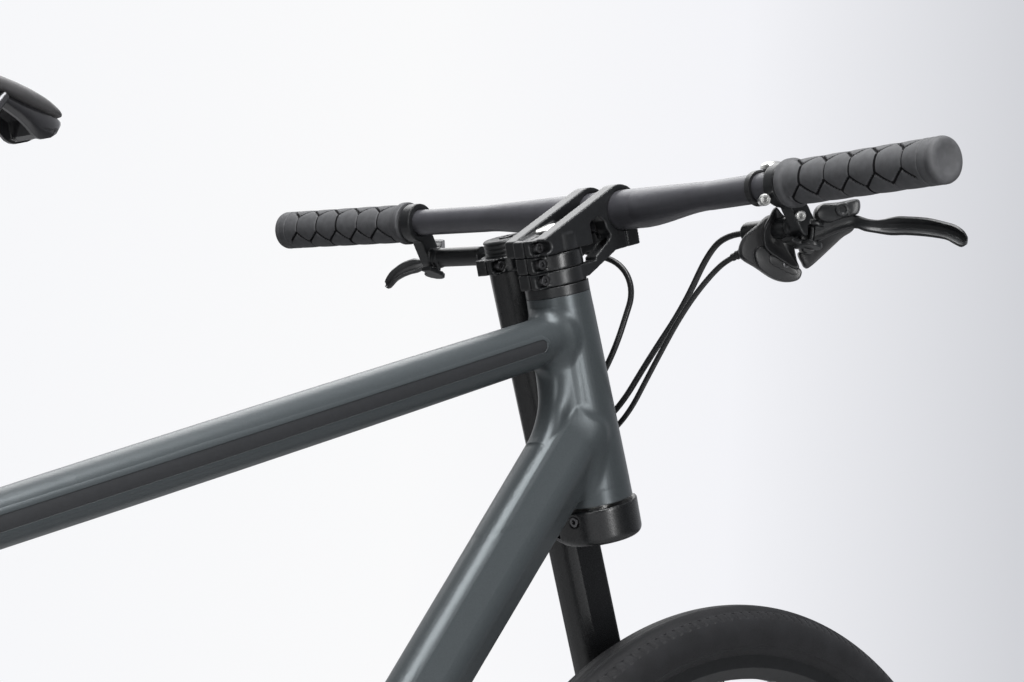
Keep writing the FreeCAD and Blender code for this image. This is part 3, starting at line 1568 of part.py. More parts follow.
rail_clear = rails(sheet.rail_radius + sheet.press_gap)
post_tube = cut(
    cylinder("post_radius", post_length, seat_foot + seat_axis * post_low, seat_axis),
    cylinder("post_radius - post_wall", post_length - sheet.head_block_length / 2,
             seat_foot + seat_axis * (post_low - sheet.overrun), seat_axis),
)
head_block = plate("PostHead", "XZ_Plane", rounded([
    (-sheet.head_block_length / 2, -block_half), (sheet.head_block_length / 2, -block_half),
    (sheet.head_block_length / 2, block_half), (-sheet.head_block_length / 2, block_half),
], sheet.base_height / 2), "head_block_width", middle=True)
head_block.Placement = Placement(Vector(post_head.x - sheet.post_setback, 0, rail_z), Rotation())
node(cut(fuse(post_tube, head_block), rail_clear), "seatpost")
node(rails(sheet.rail_radius), "saddle_rails")

saddle_names = ("tip", "nose", "neck", "waist", "wing", "seat", "tail")
saddle_stations = [
    tuple(getattr(sheet, "saddle_%s_%s" % (name, part)) for part in ("at", "half", "top", "low"))
    for name in saddle_names
]


def cover_section(at, half, top, low):
    x = sheet.nose_x - at
    floor = sheet.saddle_top_z + low
    crown = sheet.saddle_top_z + top
    side = half * sheet.crown_side_share
    edge = floor + (crown - floor) * sheet.crown_up_share
    middle = (floor + edge) / 2
    bulge = half + sheet.cover_bulge
    return Part.Wire([
        Part.LineSegment(Vector(x, -half, floor), Vector(x, half, floor)).toShape(),
        Part.Arc(Vector(x, half, floor), Vector(x, bulge, middle), Vector(x, side, edge)).toShape(),
        Part.Arc(Vector(x, side, edge), Vector(x, 0, crown), Vector(x, -side, edge)).toShape(),
        Part.Arc(Vector(x, -side, edge), Vector(x, -bulge, middle), Vector(x, -half, floor)).toShape(),
    ])


def base_section(at, half, top, low):
    x = sheet.nose_x - at
    ceiling = sheet.saddle_top_z + low - sheet.gap
    floor = ceiling - sheet.base_height
    wide = half - sheet.base_inset
    narrow = half * sheet.base_foot_share - sheet.base_inset
    corners = [Vector(x, -wide, ceiling), Vector(x, wide, ceiling), Vector(x, narrow, floor), Vector(x, -narrow, floor)]
    return Part.makePolygon(corners + corners[:1])


node(lofted([cover_section(*station) for station in saddle_stations], "Cover"), "saddle_cover")
saddle_base = lofted([base_section(*station) for station in saddle_stations], "Base")
node(cut(saddle_base, rail_clear), "saddle_base")

# Fork: steerer, crowns and the single left leg, in the fork frame

steerer_top = sheet.head_tube_length + sheet.steerer_above
crown_low = -sheet.crown_gap - sheet.crown_drop
wall = sheet.steerer_wall
steerer = turned("Steerer", [
    (sheet.steerer_foot_radius - wall, crown_low),
    (sheet.steerer_foot_radius, crown_low),
    (sheet.steerer_foot_radius, sheet.steerer_taper_low),
    (sheet.steerer_top_radius, sheet.steerer_taper_high),
    (sheet.steerer_top_radius, steerer_top),
    (sheet.steerer_top_radius - wall, steerer_top),
    (sheet.steerer_top_radius - wall, sheet.steerer_taper_high),
    (sheet.steerer_foot_radius - wall, sheet.steerer_taper_low),
])
node(steerer, "steerer", fork_place)

leg_lean = math.radians(sheet.leg_tilt)
leg_down = Vector(math.sin(leg_lean), 0, -math.cos(leg_lean))


def leg_point(level, fore=0, side=0):
    drop = sheet.head_tube_length - level
    return Vector(sheet.leg_fore_top + drop * math.tan(leg_lean) + fore, sheet.leg_side + side, level)


ring_low = sheet.head_tube_length + sheet.gap + sheet.spacer_height + sheet.gap
ring_mid = ring_low + sheet.ring_low_height + sheet.gap
ring_top = ring_mid + sheet.ring_mid_height + sheet.gap
deck_level = ring_top + sheet.ring_top_height
spacer_low = sheet.head_tube_length + sheet.gap
spacer = cut(
    cylinder("head_top_radius", "spacer_height", axis_z * spacer_low),
    cylinder("steerer_top_radius + press_gap", "spacer_height + 2 * overrun", axis_z * (spacer_low - sheet.overrun)),
)
node(spacer, "headset_spacer", fork_place)

socket_bolts = []


# A socket-head bolt: the shank starts at foot and the head sits at its far end along axis.
def socket_bolt(foot, axis, length, radius="stem_bolt_radius", head="stem_head_radius", height="stem_head_height"):
    top = foot + axis * (length + getattr(sheet, height))
    bolt = cut(
        fuse(cylinder(radius, length, foot, axis), cylinder(head, height, foot + axis * length, axis)),
        cylinder("socket_radius", "socket_depth + overrun", top - axis * sheet.socket_depth, axis),
    )
    socket_bolts.append(bolt)
    return [
        cylinder(radius + " + press_gap", length + sheet.overrun, foot - axis * sheet.press_gap, axis),
        cylinder(head + " + gap", "ear_back * 2", foot + axis * (length - sheet.press_gap), axis),
    ]


leg_at_crown = leg_point(crown_low + sheet.crown_drop / 2)
crown_turn = math.degrees(math.atan2(leg_at_crown.y, leg_at_crown.x))
crown_reach = math.hypot(leg_at_crown.x, leg_at_crown.y)
crown_plate = plate("LowerCrown", "XY_Plane", hull_of_two(sheet.crown_radius, 0, sheet.crown_leg_radius, crown_reach),
                    "crown_drop")
doc.recompute()
crown_pad = crown_plate.Tip
crown_edges = [
    "Edge%d" % (number + 1) for number, edge in enumerate(crown_pad.Shape.Edges)
    if edge.BoundBox.ZMax < sheet.gap
]
crown_round = crown_plate.newObject("PartDesign::Fillet", "Round")
crown_round.Base = (crown_pad, crown_edges)
bind(crown_round, Radius="crown_edge")
crown_plate.Tip = crown_round
crown_plate.Placement = Placement(axis_z * crown_low, Rotation(axis_z, crown_turn))
leg_hole = cylinder("leg_radius + press_gap", "crown_to_axle", leg_point(ring_low), leg_down)
crown_pockets = socket_bolt(Vector(-sheet.crown_bolt_end, -sheet.crown_bolt_side, -sheet.crown_bolt_up), -axis_x,
                            sheet.crown_bolt_back - sheet.crown_bolt_end)
crown_pockets += socket_bolt(Vector(-sheet.crown_low_bolt_end, sheet.crown_low_bolt_side, -sheet.crown_low_bolt_up),
                             -axis_x, sheet.crown_low_bolt_back - sheet.crown_low_bolt_end)
lower_crown = cut(
    crown_plate,
    cylinder("steerer_foot_radius + press_gap", "crown_drop * 3", axis_z * (crown_low - sheet.crown_drop)),
    leg_hole,
    *crown_pockets,
)
node(moved(lower_crown, fork_place), "lower_crown")

# Upper crown: ring between the stem's two, an arm, and a clamp round the top of the leg
leg_at_ring = leg_point(ring_mid + sheet.ring_mid_height / 2)
arm_turn = math.degrees(math.atan2(leg_at_ring.y, leg_at_ring.x))
arm_run = math.hypot(leg_at_ring.x, leg_at_ring.y)


def ears(low, height, centre_x=0, centre_y=0):
    corner = Vector(centre_x - sheet.ear_back, centre_y - sheet.ear_half_width, low)
    return block("ear_back", "ear_half_width + ear_left", height, corner)


def rear_slit(low, centre_x=0, centre_y=0):
    corner = Vector(centre_x - 2 * sheet.ear_back, centre_y - sheet.slit_side - sheet.slit_width / 2,
                    low - sheet.overrun)
    return block("2 * ear_back", "slit_width", sheet.ring_top_height + 2 * sheet.overrun, corner)


# Ear bolts run along Y; their heads sit in oval pockets open to the right and rear.
def ear_bolt(level, centre_x=0, centre_y=0):
    at = Vector(centre_x - sheet.stem_bolt_back, centre_y + sheet.pocket_floor, level)
    shank = 2 * sheet.pocket_floor
    tools = socket_bolt(at, -axis_y, shank)
    oval = block("ear_back", "ear_half_width * 2", "2 * pocket_half",
                 Vector(centre_x - sheet.stem_bolt_back - sheet.ear_back,
                        centre_y - sheet.pocket_floor - 2 * sheet.ear_half_width, level - sheet.pocket_half))
    return tools + [oval]


upper_crown = cut(
    fuse(
        cylinder("ring_radius", "ring_mid_height", axis_z * ring_mid),
        ears(ring_mid, "ring_mid_height"),
        block(arm_run, "2 * arm_half_width", "ring_mid_height",
              Rotation(axis_z, arm_turn).multVec(Vector(0, -sheet.arm_half_width, 0)) + axis_z * ring_mid,
              Rotation(axis_z, arm_turn)),
        cylinder("upper_leg_radius", "ring_mid_height", Vector(leg_at_ring.x, leg_at_ring.y, ring_mid)),
        ears(ring_mid, "ring_mid_height", leg_at_ring.x, leg_at_ring.y),
    ),
    cylinder("steerer_top_radius + press_gap", "head_tube_length", axis_z * ring_low),
    cylinder("leg_radius + press_gap", "head_tube_length", leg_point(ring_low), -leg_down),
    rear_slit(ring_mid),
    rear_slit(ring_mid, leg_at_ring.x, leg_at_ring.y),
    *ear_bolt(ring_mid + sheet.ring_mid_height / 2),
    *ear_bolt(ring_mid + sheet.ring_mid_height / 2, leg_at_ring.x, leg_at_ring.y),
)
node(moved(upper_crown, fork_place), "upper_crown")

# Leg: round tube, flat on its inner side below the head tube, with the stub axle and a tab for the caliper
leg_top = ring_mid + sheet.ring_mid_height
axle_level = -sheet.crown_to_axle
axle_fore = sheet.rake
leg_foot = leg_point(axle_level)
leg_run = (leg_top - axle_level) / math.cos(leg_lean)
leg_tube = cylinder("leg_radius", leg_run, leg_point(leg_top), leg_down)
leg_turn = Rotation(axis_y, -sheet.leg_tilt)
corner_top = leg_point(crown_low - 4 * sheet.gap)
corner_run = (corner_top - leg_foot).Length
leg_corner = block("leg_corner_fore", "leg_flat_side", corner_run, origin)
leg_corner.Placement = Placement(leg_foot - axis_y * sheet.leg_flat_side, leg_turn)
flat_top = leg_point(sheet.leg_flat_top)
flat_run = (flat_top - leg_foot).Length + sheet.leg_radius
leg_flat = block("leg_radius * 4", "leg_radius", flat_run, origin)
leg_flat.Placement = Placement(
    leg_foot + leg_down * sheet.leg_radius, leg_turn).multiply(
    Placement(Vector(-sheet.leg_radius * 2, -sheet.leg_flat_side - sheet.leg_radius, 0), Rotation()))
leg_bore = cylinder("leg_radius - leg_wall - (leg_radius - leg_flat_side)", leg_run - sheet.leg_foot_radius * 2,
                    leg_point(leg_top + sheet.overrun), leg_down)
front_turn = math.radians(sheet.front_caliper_angle)
front_radial = Vector(math.cos(front_turn), 0, math.sin(front_turn))
front_tangent = Vector(math.sin(front_turn), 0, -math.cos(front_turn))
axle_point = Vector(axle_fore, 0, axle_level)
front_caliper_at = axle_point + front_radial * sheet.caliper_reach + axis_y * sheet.front_rotor_y
tab_outer = sheet.leg_tab_inner + sheet.leg_tab_thickness
leg_tab = block(leg_foot.x - front_caliper_at.x + sheet.leg_tab_half, "leg_tab_thickness", "2 * leg_tab_half",
                Vector(front_caliper_at.x - sheet.leg_tab_half, sheet.leg_tab_inner,
                       front_caliper_at.z - sheet.leg_tab_half))
front_holes = caliper_bolts(front_caliper_at, front_tangent, axis_y, 0,
                            tab_outer - sheet.front_rotor_y + sheet.overrun, "caliper_bolt_radius + press_gap")
front_bolts = []
for side in (1, -1):
    foot = front_caliper_at + front_tangent * (side * sheet.caliper_bolt_apart) + axis_y * sheet.caliper_slot
    reach = tab_outer - sheet.front_rotor_y - sheet.caliper_slot + sheet.press_gap
    front_bolts.append(bolt_with_head(foot, axis_y, reach))
foot_boss = cylinder("leg_foot_radius", "leg_foot_outer - leg_foot_inner", axle_point + axis_y * sheet.leg_foot_inner,
                     axis_y)
stub_axle = cylinder("front_axle_radius", "leg_foot_inner + front_hub_right + overrun",
                     axle_point - axis_y * sheet.front_hub_right, axis_y)
leg_solid = fuse(cut(fuse(leg_tube, leg_corner), leg_flat), foot_boss, leg_tab, stub_axle)
node(moved(cut(leg_solid, leg_bore, *front_holes), fork_place), "fork_leg")
front_caliper_place = Placement(front_caliper_at, Rotation(front_tangent * -1, front_radial, axis_y, "ZYX"))
node(moved(group(caliper_body(front_caliper_place, front_holes), *front_bolts), fork_place), "front_caliper")

# Ridged cap on the leg, with its centre bolt among the cockpit bolts
cap_steps = [(sheet.cap_bolt_radius + sheet.press_gap, 0), (sheet.cap_radius, 0)]
ridge = sheet.cap_groove
for number in range(3):
    low = ridge * (3 * number + 2)
    cap_steps += [(sheet.cap_radius, low), (sheet.cap_radius - sheet.cap_groove_depth, low),
                  (sheet.cap_radius - sheet.cap_groove_depth, low + ridge), (sheet.cap_radius, low + ridge)]
cap_steps += [
    (sheet.cap_radius, sheet.cap_height - ridge),
    (sheet.cap_radius - ridge, sheet.cap_height),
    (sheet.cap_bolt_radius + sheet.press_gap, sheet.cap_height),
]
cap_place = fork_place.multiply(Placement(leg_point(leg_top + sheet.gap), leg_turn))
node(turned("Cap", cap_steps), "fork_cap", cap_place)
cap_bolt = cut(
    cylinder("cap_bolt_radius", "cap_height + cap_bolt_proud"),
    cylinder("socket_radius * 1.5", "cap_height", axis_z * (sheet.cap_height - sheet.socket_depth)),
)
cap_bolt.Placement = Placement(leg_point(leg_top + sheet.gap), leg_turn)
socket_bolts.append(cap_bolt)
axle_cap = cylinder("front_hub_radius", "flange_thickness",
                    axle_point - axis_y * (sheet.front_hub_right + sheet.gap), -axis_y)
socket_bolts.append(axle_cap)

# Stem: two rings with ears, two arms rising to loops round the bar, struts from the lower ring

bar_at = Vector(sheet.bar_fore, 0, sheet.bar_up)
loop_radius = sheet.bar_radius + sheet.loop_wall
arm_foot = Vector(-sheet.arm_start_back, 0, deck_level)
to_loop = bar_at - arm_foot
tangent_turn = math.atan2(to_loop.z, to_loop.x) + math.asin(loop_radius / to_loop.Length)
tangent_run = math.sqrt(to_loop.Length**2 - loop_radius**2)
arm_rise = Vector(math.cos(tangent_turn), 0, math.sin(tangent_turn))
arm_peak = arm_foot + arm_rise * tangent_run
lug_reach = sheet.lug_fore - sheet.bar_fore
lug_height = sheet.bar_up - math.sqrt(loop_radius**2 - lug_reach**2)
plate_middle = sheet.plate_inner + sheet.plate_thickness / 2


def stem_plate(side):
    item = plate("StemPlate", "XZ_Plane", [
        (arm_foot.x, arm_foot.z),
        (arm_peak.x, arm_peak.z),
        ((sheet.bar_fore + loop_radius, sheet.bar_up), (sheet.lug_fore, lug_height)),
        (sheet.lug_fore, sheet.lug_low),
        (sheet.lug_back, sheet.lug_low),
        (sheet.strut_fore, sheet.strut_low),
        (0, sheet.strut_low),
        (0, ring_top),
        (arm_foot.x, ring_top),
    ], "plate_thickness", middle=True)
    item.Placement = Placement(axis_y * (side * plate_middle), Rotation())
    return item


def deck_height(x):
    return deck_level + (x + sheet.arm_start_back) * math.tan(tangent_turn) - sheet.deck_step


deck = plate("Deck", "XZ_Plane", [
    (-sheet.deck_back, deck_level),
    (sheet.deck_fore, deck_height(sheet.deck_fore)),
    (sheet.deck_fore, deck_height(sheet.deck_fore) - sheet.deck_depth),
    (-sheet.deck_back, deck_level - sheet.deck_depth),
], "2 * plate_inner", middle=True)
window = plate("Window", "XZ_Plane", [
    (sheet.window_back, sheet.window_foot),
    (sheet.window_back, sheet.window_back_top),
    (sheet.window_peak_fore, sheet.window_peak),
    (sheet.window_nose_fore, sheet.window_nose),
    (sheet.window_waist_fore, sheet.window_waist),
    (sheet.window_lip_fore, sheet.window_lip),
    (sheet.window_toe_fore, sheet.window_toe),
], "4 * plate_thickness", middle=True)
middle_layer = block("ear_back + window_back + overrun", "8 * plate_thickness", ring_top - ring_mid + sheet.gap,
                     Vector(-sheet.ear_back - sheet.overrun, -4 * sheet.plate_thickness, ring_mid - sheet.gap))
bar_bore = cylinder("bar_radius + press_gap", "8 * plate_thickness", bar_at - axis_y * (4 * sheet.plate_thickness),
                    axis_y)
loop_slit = block("slit_width", "8 * plate_thickness", "bar_up - lug_low + overrun",
                  Vector(sheet.bar_fore - sheet.slit_width / 2, -4 * sheet.plate_thickness,
                         sheet.lug_low - sheet.overrun))
lug_tools = []
for side in (1, -1):
    foot = Vector(sheet.lug_fore - sheet.overrun, side * plate_middle, sheet.bar_up - sheet.lug_bolt_drop)
    reach = sheet.lug_fore - sheet.lug_back - 2 * sheet.overrun
    lug_tools += socket_bolt(foot, -axis_x, reach)
stem = cut(
    fuse(
        cylinder("ring_radius", "ring_low_height", axis_z * ring_low),
        ears(ring_low, "ring_low_height"),
        cylinder("ring_radius", "ring_top_height", axis_z * ring_top),
        ears(ring_top, "ring_top_height"),
        stem_plate(1), stem_plate(-1), deck,
    ),
    middle_layer,
    window,
    bar_bore,
    loop_slit,
    cylinder("steerer_top_radius + press_gap", "steerer_above", axis_z * (ring_low - sheet.overrun)),
    rear_slit(ring_low),
    rear_slit(ring_top),
    *lug_tools,
    *ear_bolt(ring_low + sheet.ring_low_height / 2),
    *ear_bolt(ring_top + sheet.ring_top_height / 2),
)
node(moved(stem, fork_place), "stem")
deck_slope = math.degrees(math.atan2(deck_height(sheet.deck_fore) - deck_level, sheet.deck_fore + sheet.deck_back))
plug_at = Vector(0, 0, deck_level + math.tan(math.radians(deck_slope)) * sheet.deck_back + sheet.press_gap)
plug = turned("Plug", [(0, 0), (sheet.plug_radius, 0), (sheet.plug_radius, sheet.plug_height / 2),
                       (sheet.plug_radius - sheet.plug_height / 2, sheet.plug_height), (0, sheet.plug_height)])
node(plug, "stem_cap", fork_place.multiply(Placement(plug_at, Rotation(axis_y, -deck_slope))))

# Handlebar: a thick middle, tapering and rising to swept-back ends

bar_end = bar_at + Vector(-sheet.bar_end_back, -sheet.bar_half_width, sheet.bar_end_rise)
bend_back = sheet.bar_end_back * (sheet.bar_bend_half - sheet.bar_clamp_half) / (
    sheet.bar_half_width - sheet.bar_clamp_half)
bar_bend = bar_at + Vector(-bend_back, -sheet.bar_bend_half, sheet.bar_bend_rise)
bar_inward = (bar_bend - bar_end).normalize()
end_place = Placement(bar_end, Rotation(axis_x, bar_inward, axis_z, "YXZ"))


def smooth(share):
    return share * share * (3 - 2 * share)


def bar_side(shrink):
    rings = []
    start = bar_at - axis_y * sheet.bar_clamp_half
    for number in range(7):
        share = number / 6
        centre = start + (bar_bend - start) * share
        centre.z = bar_at.z + sheet.bar_bend_rise * smooth(share)
        radius = sheet.bar_radius + (sheet.bar_end_radius - sheet.bar_radius) * smooth(share) - shrink
        heading = Vector(0, 1, 0) if number == 0 else bar_inward
        rings.append(ring_wire(centre, heading, radius))
    rings.append(ring_wire(bar_end - bar_inward * (sheet.overrun if shrink else 0), bar_inward,
                           sheet.bar_end_radius - shrink))
    middle = Part.makeCylinder(sheet.bar_radius - shrink, sheet.bar_clamp_half, start, axis_y)
    taper = Part.makeLoft(rings[:7], True, False)
    straight = Part.makeLoft(rings[6:], True, True)
    return middle.fuse([taper, straight])


bar_right = shaped(bar_side(0).cut(bar_side(sheet.bar_wall)).removeSplitter(), "BarRight")
handlebar = fuse(bar_right, mirrored(bar_right))
node(moved(handlebar, fork_place), "handlebar")


# Pieces drawn at the right bar end and mirrored to the left
def both_sides(item):
    right = moved(item, end_place)
    return right, mirrored(right)


bar_turn = Rotation(axis_x, -90)
grip_bore = sheet.bar_end_radius + sheet.press_gap
grip = turned("Grip", [
    (0, -sheet.grip_cap),
    (sheet.grip_radius - sheet.grip_cap, -sheet.grip_cap),
    (sheet.grip_radius, 0),
    (sheet.grip_radius, sheet.grip_length - 2 * sheet.grip_flange),
    (sheet.grip_flange_radius, sheet.grip_length - sheet.grip_flange),
    (sheet.grip_flange_radius, sheet.grip_length),
    (grip_bore, sheet.grip_length),
    (grip_bore, -sheet.gap),
    (0, -sheet.gap),
])
grip.Placement = Placement(origin, bar_turn)
node(moved(group(*both_sides(grip)), fork_place), "grips")

# Brake lever bodies: clamp ring, master cylinder and pivot cheeks, with the blade on a pin

ring_outer = "bar_end_radius + press_gap + clamp_ring_wall"
ring_start = Vector(0, sheet.clamp_ring_start, 0)
master_at = Vector(sheet.master_fore, 0, -sheet.master_down)
pivot = Vector(sheet.pivot_fore, sheet.pivot_at, -sheet.pivot_down)
lever_place = Placement(pivot, Rotation(axis_y, sheet.lever_tilt))
cheek_low = sheet.blade_half_height + sheet.gap
cheek_high = cheek_low + sheet.pivot_cheek
master_toward = Vector(sheet.master_fore, 0, -sheet.master_down)
master_reach = master_toward.Length
web_turn = Rotation(axis_z, master_toward)
web = block("2 * master_radius", "clamp_ring_width", master_reach, origin)
web.Placement = Placement(ring_start, web_turn).multiply(Placement(Vector(-sheet.master_radius, 0, 0), Rotation()))
master_foot = master_at + axis_y * sheet.clamp_ring_start
cheeks = []
for low in (cheek_low, -cheek_high):
    cheek = fuse(
        cylinder("pivot_radius", "pivot_cheek", axis_z * low),
        block("2 * pivot_radius", "pivot_radius + pivot_cheek / 2", "pivot_cheek", Vector(-2 * sheet.pivot_radius, 0, low)),
    )
    cheeks.append(moved(cheek, lever_place))
blade_swing = moved(cylinder("pivot_radius + gap", "2 * blade_half_height + 2 * gap", axis_z * -cheek_low), lever_place)
master = fuse(
    cylinder("master_radius", "master_start + master_length - clamp_ring_start", master_foot, axis_y),
    cylinder("master_radius + master_lip", "master_lip * 4", master_at + axis_y * sheet.master_start, axis_y),
)
brake_core = cut(
    fuse(cylinder(ring_outer, "clamp_ring_width", ring_start, axis_y), web, master, *cheeks),
    cylinder("bar_end_radius + press_gap", "bar_half_width", origin, axis_y),
    blade_swing,
)
pivot_pin = cylinder("pivot_pin_radius", 2 * cheek_high, lever_place.multVec(axis_z * -cheek_high),
                     lever_place.Rotation.multVec(axis_z))
brake_body = fuse(brake_core, pivot_pin)
brake_right, brake_left = both_sides(brake_body)
node(moved(brake_right, fork_place), "brake_body_right")
node(moved(brake_left, fork_place), "brake_body_left")

blade = plate("Blade", "XY_Plane", [
    (sheet.blade_root_half, sheet.blade_root_half),
    ((sheet.blade_mid_fore + sheet.blade_mid_half, -sheet.blade_mid_out),
     (sheet.blade_tip_fore + sheet.blade_tip_half, -sheet.blade_tip_out)),
    (sheet.blade_tip_fore - sheet.blade_tip_half, -sheet.blade_tip_out),
    ((sheet.blade_mid_fore - sheet.blade_mid_half, -sheet.blade_mid_out), (-sheet.blade_root_half, 0)),
], "2 * blade_half_height", middle=True)
lever = cut(
    fuse(cylinder("pivot_radius - gap", "2 * blade_half_height", axis_z * -sheet.blade_half_height), blade,
         ball("blade_ball", Vector(sheet.blade_tip_fore, -sheet.blade_tip_out, 0))),
    cylinder("pivot_pin_radius + running_gap", "4 * blade_half_height", axis_z * (-2 * sheet.blade_half_height)),
)
lever_right, lever_left = both_sides(moved(lever, lever_place))
node(moved(lever_right, fork_place), "brake_lever_right")
node(moved(lever_left, fork_place), "brake_lever_left")

# Trigger shifter under the right side: pod, thumb paddle and release lever on one axis

pod_lean = math.radians(sheet.pod_lean)
pod_yaw = math.radians(sheet.pod_yaw)
pod_axis = Vector(-math.sin(pod_lean) * math.cos(pod_yaw), -math.sin(pod_lean) * math.sin(pod_yaw), -math.cos(pod_lean))
pod_at = Vector(sheet.pod_fore, sheet.pod_at, -sheet.pod_down)
pod_place = Placement(pod_at, Rotation(axis_z, axis_y, pod_axis, "ZXY"))
pod_half = sheet.pod_depth / 2
paddle_low = pod_half + sheet.gap
paddle_high = paddle_low + sheet.paddle_thickness
pod = fuse(
    cylinder("pod_radius", "pod_depth", axis_z * -pod_half),
    cylinder("lever_pin_radius", paddle_high + sheet.gap - pod_half + sheet.paddle_lid, axis_z * pod_half),
    cylinder("paddle_hub_radius - gap", "paddle_lid", axis_z * (paddle_high + sheet.gap)),
    cylinder("lever_pin_radius", "release_thickness + 2 * gap", axis_z * (-pod_half - sheet.release_thickness
             - 2 * sheet.gap)),
    cylinder("release_hub_radius / 2", "paddle_lid", axis_z * (-pod_half - sheet.release_thickness - 2 * sheet.gap
             - sheet.paddle_lid)),
)
pod_ring = Vector(0, sheet.pod_ring_start, 0)
hanger = block("hanger_length", "pod_ring_width", "pod_down - pod_radius / 2",
               Vector(-sheet.hanger_back, sheet.pod_ring_start, -sheet.pod_down + sheet.pod_radius / 2))
shifter = cut(
    fuse(cylinder(ring_outer, "pod_ring_width", pod_ring, axis_y), hanger, moved(pod, pod_place)),
    cylinder("bar_end_radius + press_gap", "bar_half_width", origin, axis_y),
)
shifter_place = fork_place.multiply(end_place)
node(moved(shifter, shifter_place), "shifter_body")

paddle = cut(
    fuse(
        cylinder("paddle_hub_radius", "paddle_thickness", axis_z * paddle_low),
        moved(plate("Paddle", "XY_Plane", hull_of_two(sheet.paddle_half_width, sheet.paddle_length,
                                                      sheet.paddle_neck_half, 0), "paddle_thickness"),
              Placement(axis_z * paddle_low, Rotation())),
    ),
    cylinder("lever_pin_radius + running_gap", "pod_depth * 2"),
    moved(ball("paddle_dish", origin), Placement(Vector(sheet.paddle_length, 0, paddle_high + sheet.paddle_dish
          - sheet.paddle_dish_depth), Rotation())),
)
node(moved(moved(paddle, pod_place), shifter_place), "shift_lever")

release_high = -pod_half - sheet.gap
release_low = release_high - sheet.release_thickness
release_tip = Vector(sheet.release_tip_fore, sheet.release_tip_at, -sheet.release_tip_down)
release_root = pod_place.multVec(axis_z * ((release_high + release_low) / 2))
release_way = release_tip - release_root
release_flat = release_way - pod_axis * release_way.dot(pod_axis)
release_start = release_root + release_flat.normalize() * sheet.release_hub_radius
release_arm = cylinder("release_radius", (release_tip - release_start).Length, release_start, release_tip - release_start)
release = cut(
    fuse(moved(cylinder("release_hub_radius + release_radius / 2", "release_thickness", axis_z * release_low), pod_place),
         release_arm, ball("release_ball", release_tip)),
    moved(cylinder("lever_pin_radius + running_gap", "pod_depth * 2", axis_z * (-sheet.pod_depth * 2)), pod_place),
)
node(moved(release, shifter_place), "release_lever")

# Bell: ring on the bar, a post, the dome and a striker on the dome's edge

bell_start = Vector(0, sheet.bell_ring_start, 0)
bell_foot = Vector(0, sheet.bell_ring_start + sheet.bell_ring_width / 2, 0)
bell_place = Placement(bell_foot, Rotation(axis_y, sheet.bell_lean))
dome_low = sheet.bell_dome_low
dome_wall = sheet.bell_wall
inner_radius = sheet.bell_radius - dome_wall
inner_height = sheet.bell_height - dome_wall
half_turn = math.sqrt(2) / 2
dome_steps = [
    (0, dome_low + inner_height),
    (sheet.bell_crown_radius, dome_low + inner_height),
    ((inner_radius * half_turn, dome_low + inner_height * half_turn), (inner_radius, dome_low)),
    (sheet.bell_radius, dome_low),
    ((sheet.bell_radius * half_turn, dome_low + sheet.bell_height * half_turn),
     (sheet.bell_crown_radius, dome_low + sheet.bell_height)),
    (0, dome_low + sheet.bell_height),
]
dome = turned("Dome", dome_steps)
bell_base = cut(
    fuse(
        cylinder("bar_end_radius + press_gap + bell_ring_wall", "bell_ring_width", bell_start, axis_y),
        moved(cylinder("bell_post_radius", "bell_dome_low + bell_height - bell_wall / 2"), bell_place),
        moved(dome, bell_place),
        moved(cylinder("bell_foot_radius", "bell_dome_low - gap * 4", origin), bell_place),
        moved(block("striker_arm", "striker_seat_half * 2", "striker_seat_half", Vector(0, -sheet.striker_seat_half,
              dome_low - sheet.gap * 4 - sheet.striker_seat_half)), bell_place),
    ),
    cylinder("bar_end_radius + press_gap", "bar_half_width", origin, axis_y),
)
node(moved(bell_base, shifter_place), "bell")
striker_at = Vector(sheet.striker_arm + sheet.gap, 0, dome_low - sheet.gap * 4 - sheet.striker_seat_half)
striker = fuse(
    cylinder("striker_radius", "striker_seat_half * 4", striker_at + Vector(sheet.striker_radius, 0, 0)),
    ball("striker_ball", striker_at + Vector(sheet.striker_radius, 0, sheet.striker_seat_half * 4)),
)
node(moved(moved(striker, bell_place), shifter_place), "bell_striker")
node(moved(group(*socket_bolts), fork_place), "cockpit_bolts")

# Brake hoses and shift cable


# The widest tangent bends the runs leave room for
def easy_bends(points):
    bends = []
    for index in range(1, len(points) - 1):
        before = points[index - 1] - points[index]
        after = points[index + 1] - points[index]
        reach = min(before.Length, after.Length) * sheet.cord_bend_share
        bends.append(round(min(reach * math.tan(before.getAngle(after) / 2), sheet.cord_bend_most), 1))
    return bends


def route(name, count):
    return [Vector(*[getattr(sheet, "%s_%d_%s" % (name, number, part)) for part in ("fore", "side", "up")])
            for number in range(1, count + 1)]


def swing(point):
    return fork_place.multVec(point)


def tube_side(at, level, share, clear):
    return down_place.multVec(Vector(level, -sheet.down_tube_half_width * share - clear, at))


def stay_side(at, up, out):
    return bracket + stay_line * at + stay_up * up + axis_y * out


master_end = Vector(sheet.master_fore, sheet.master_start + sheet.master_length + sheet.press_gap, -sheet.master_down)
right_start = end_place.multVec(master_end)
right_lead = end_place.multVec(master_end + axis_y * sheet.cord_lead)


def left_of(point):
    return Vector(point.x, -point.y, point.z)


crown_lane = sheet.crown_leg_radius + sheet.hose_radius + sheet.hose_clear
front_entry = front_caliper_at + front_tangent * (sheet.caliper_half_length + sheet.press_gap) + axis_y * sheet.hose_entry
front_points = [
    left_of(right_start),
    left_of(right_lead),
    *route("front_hose", 4),
    leg_point(sheet.head_tube_length / 4, crown_lane),
    leg_point(axle_level + sheet.hose_turn_up, crown_lane),
    leg_point(axle_level + sheet.hose_cross_up, crown_lane, sheet.hose_cross_side - sheet.leg_side),
    front_entry + front_tangent * sheet.hose_run_in,
    front_entry,
]
front_hose = cord("front_brake_hose", front_points, easy_bends(front_points), sheet.hose_radius)
node(front_hose, "front_brake_hose", fork_place)

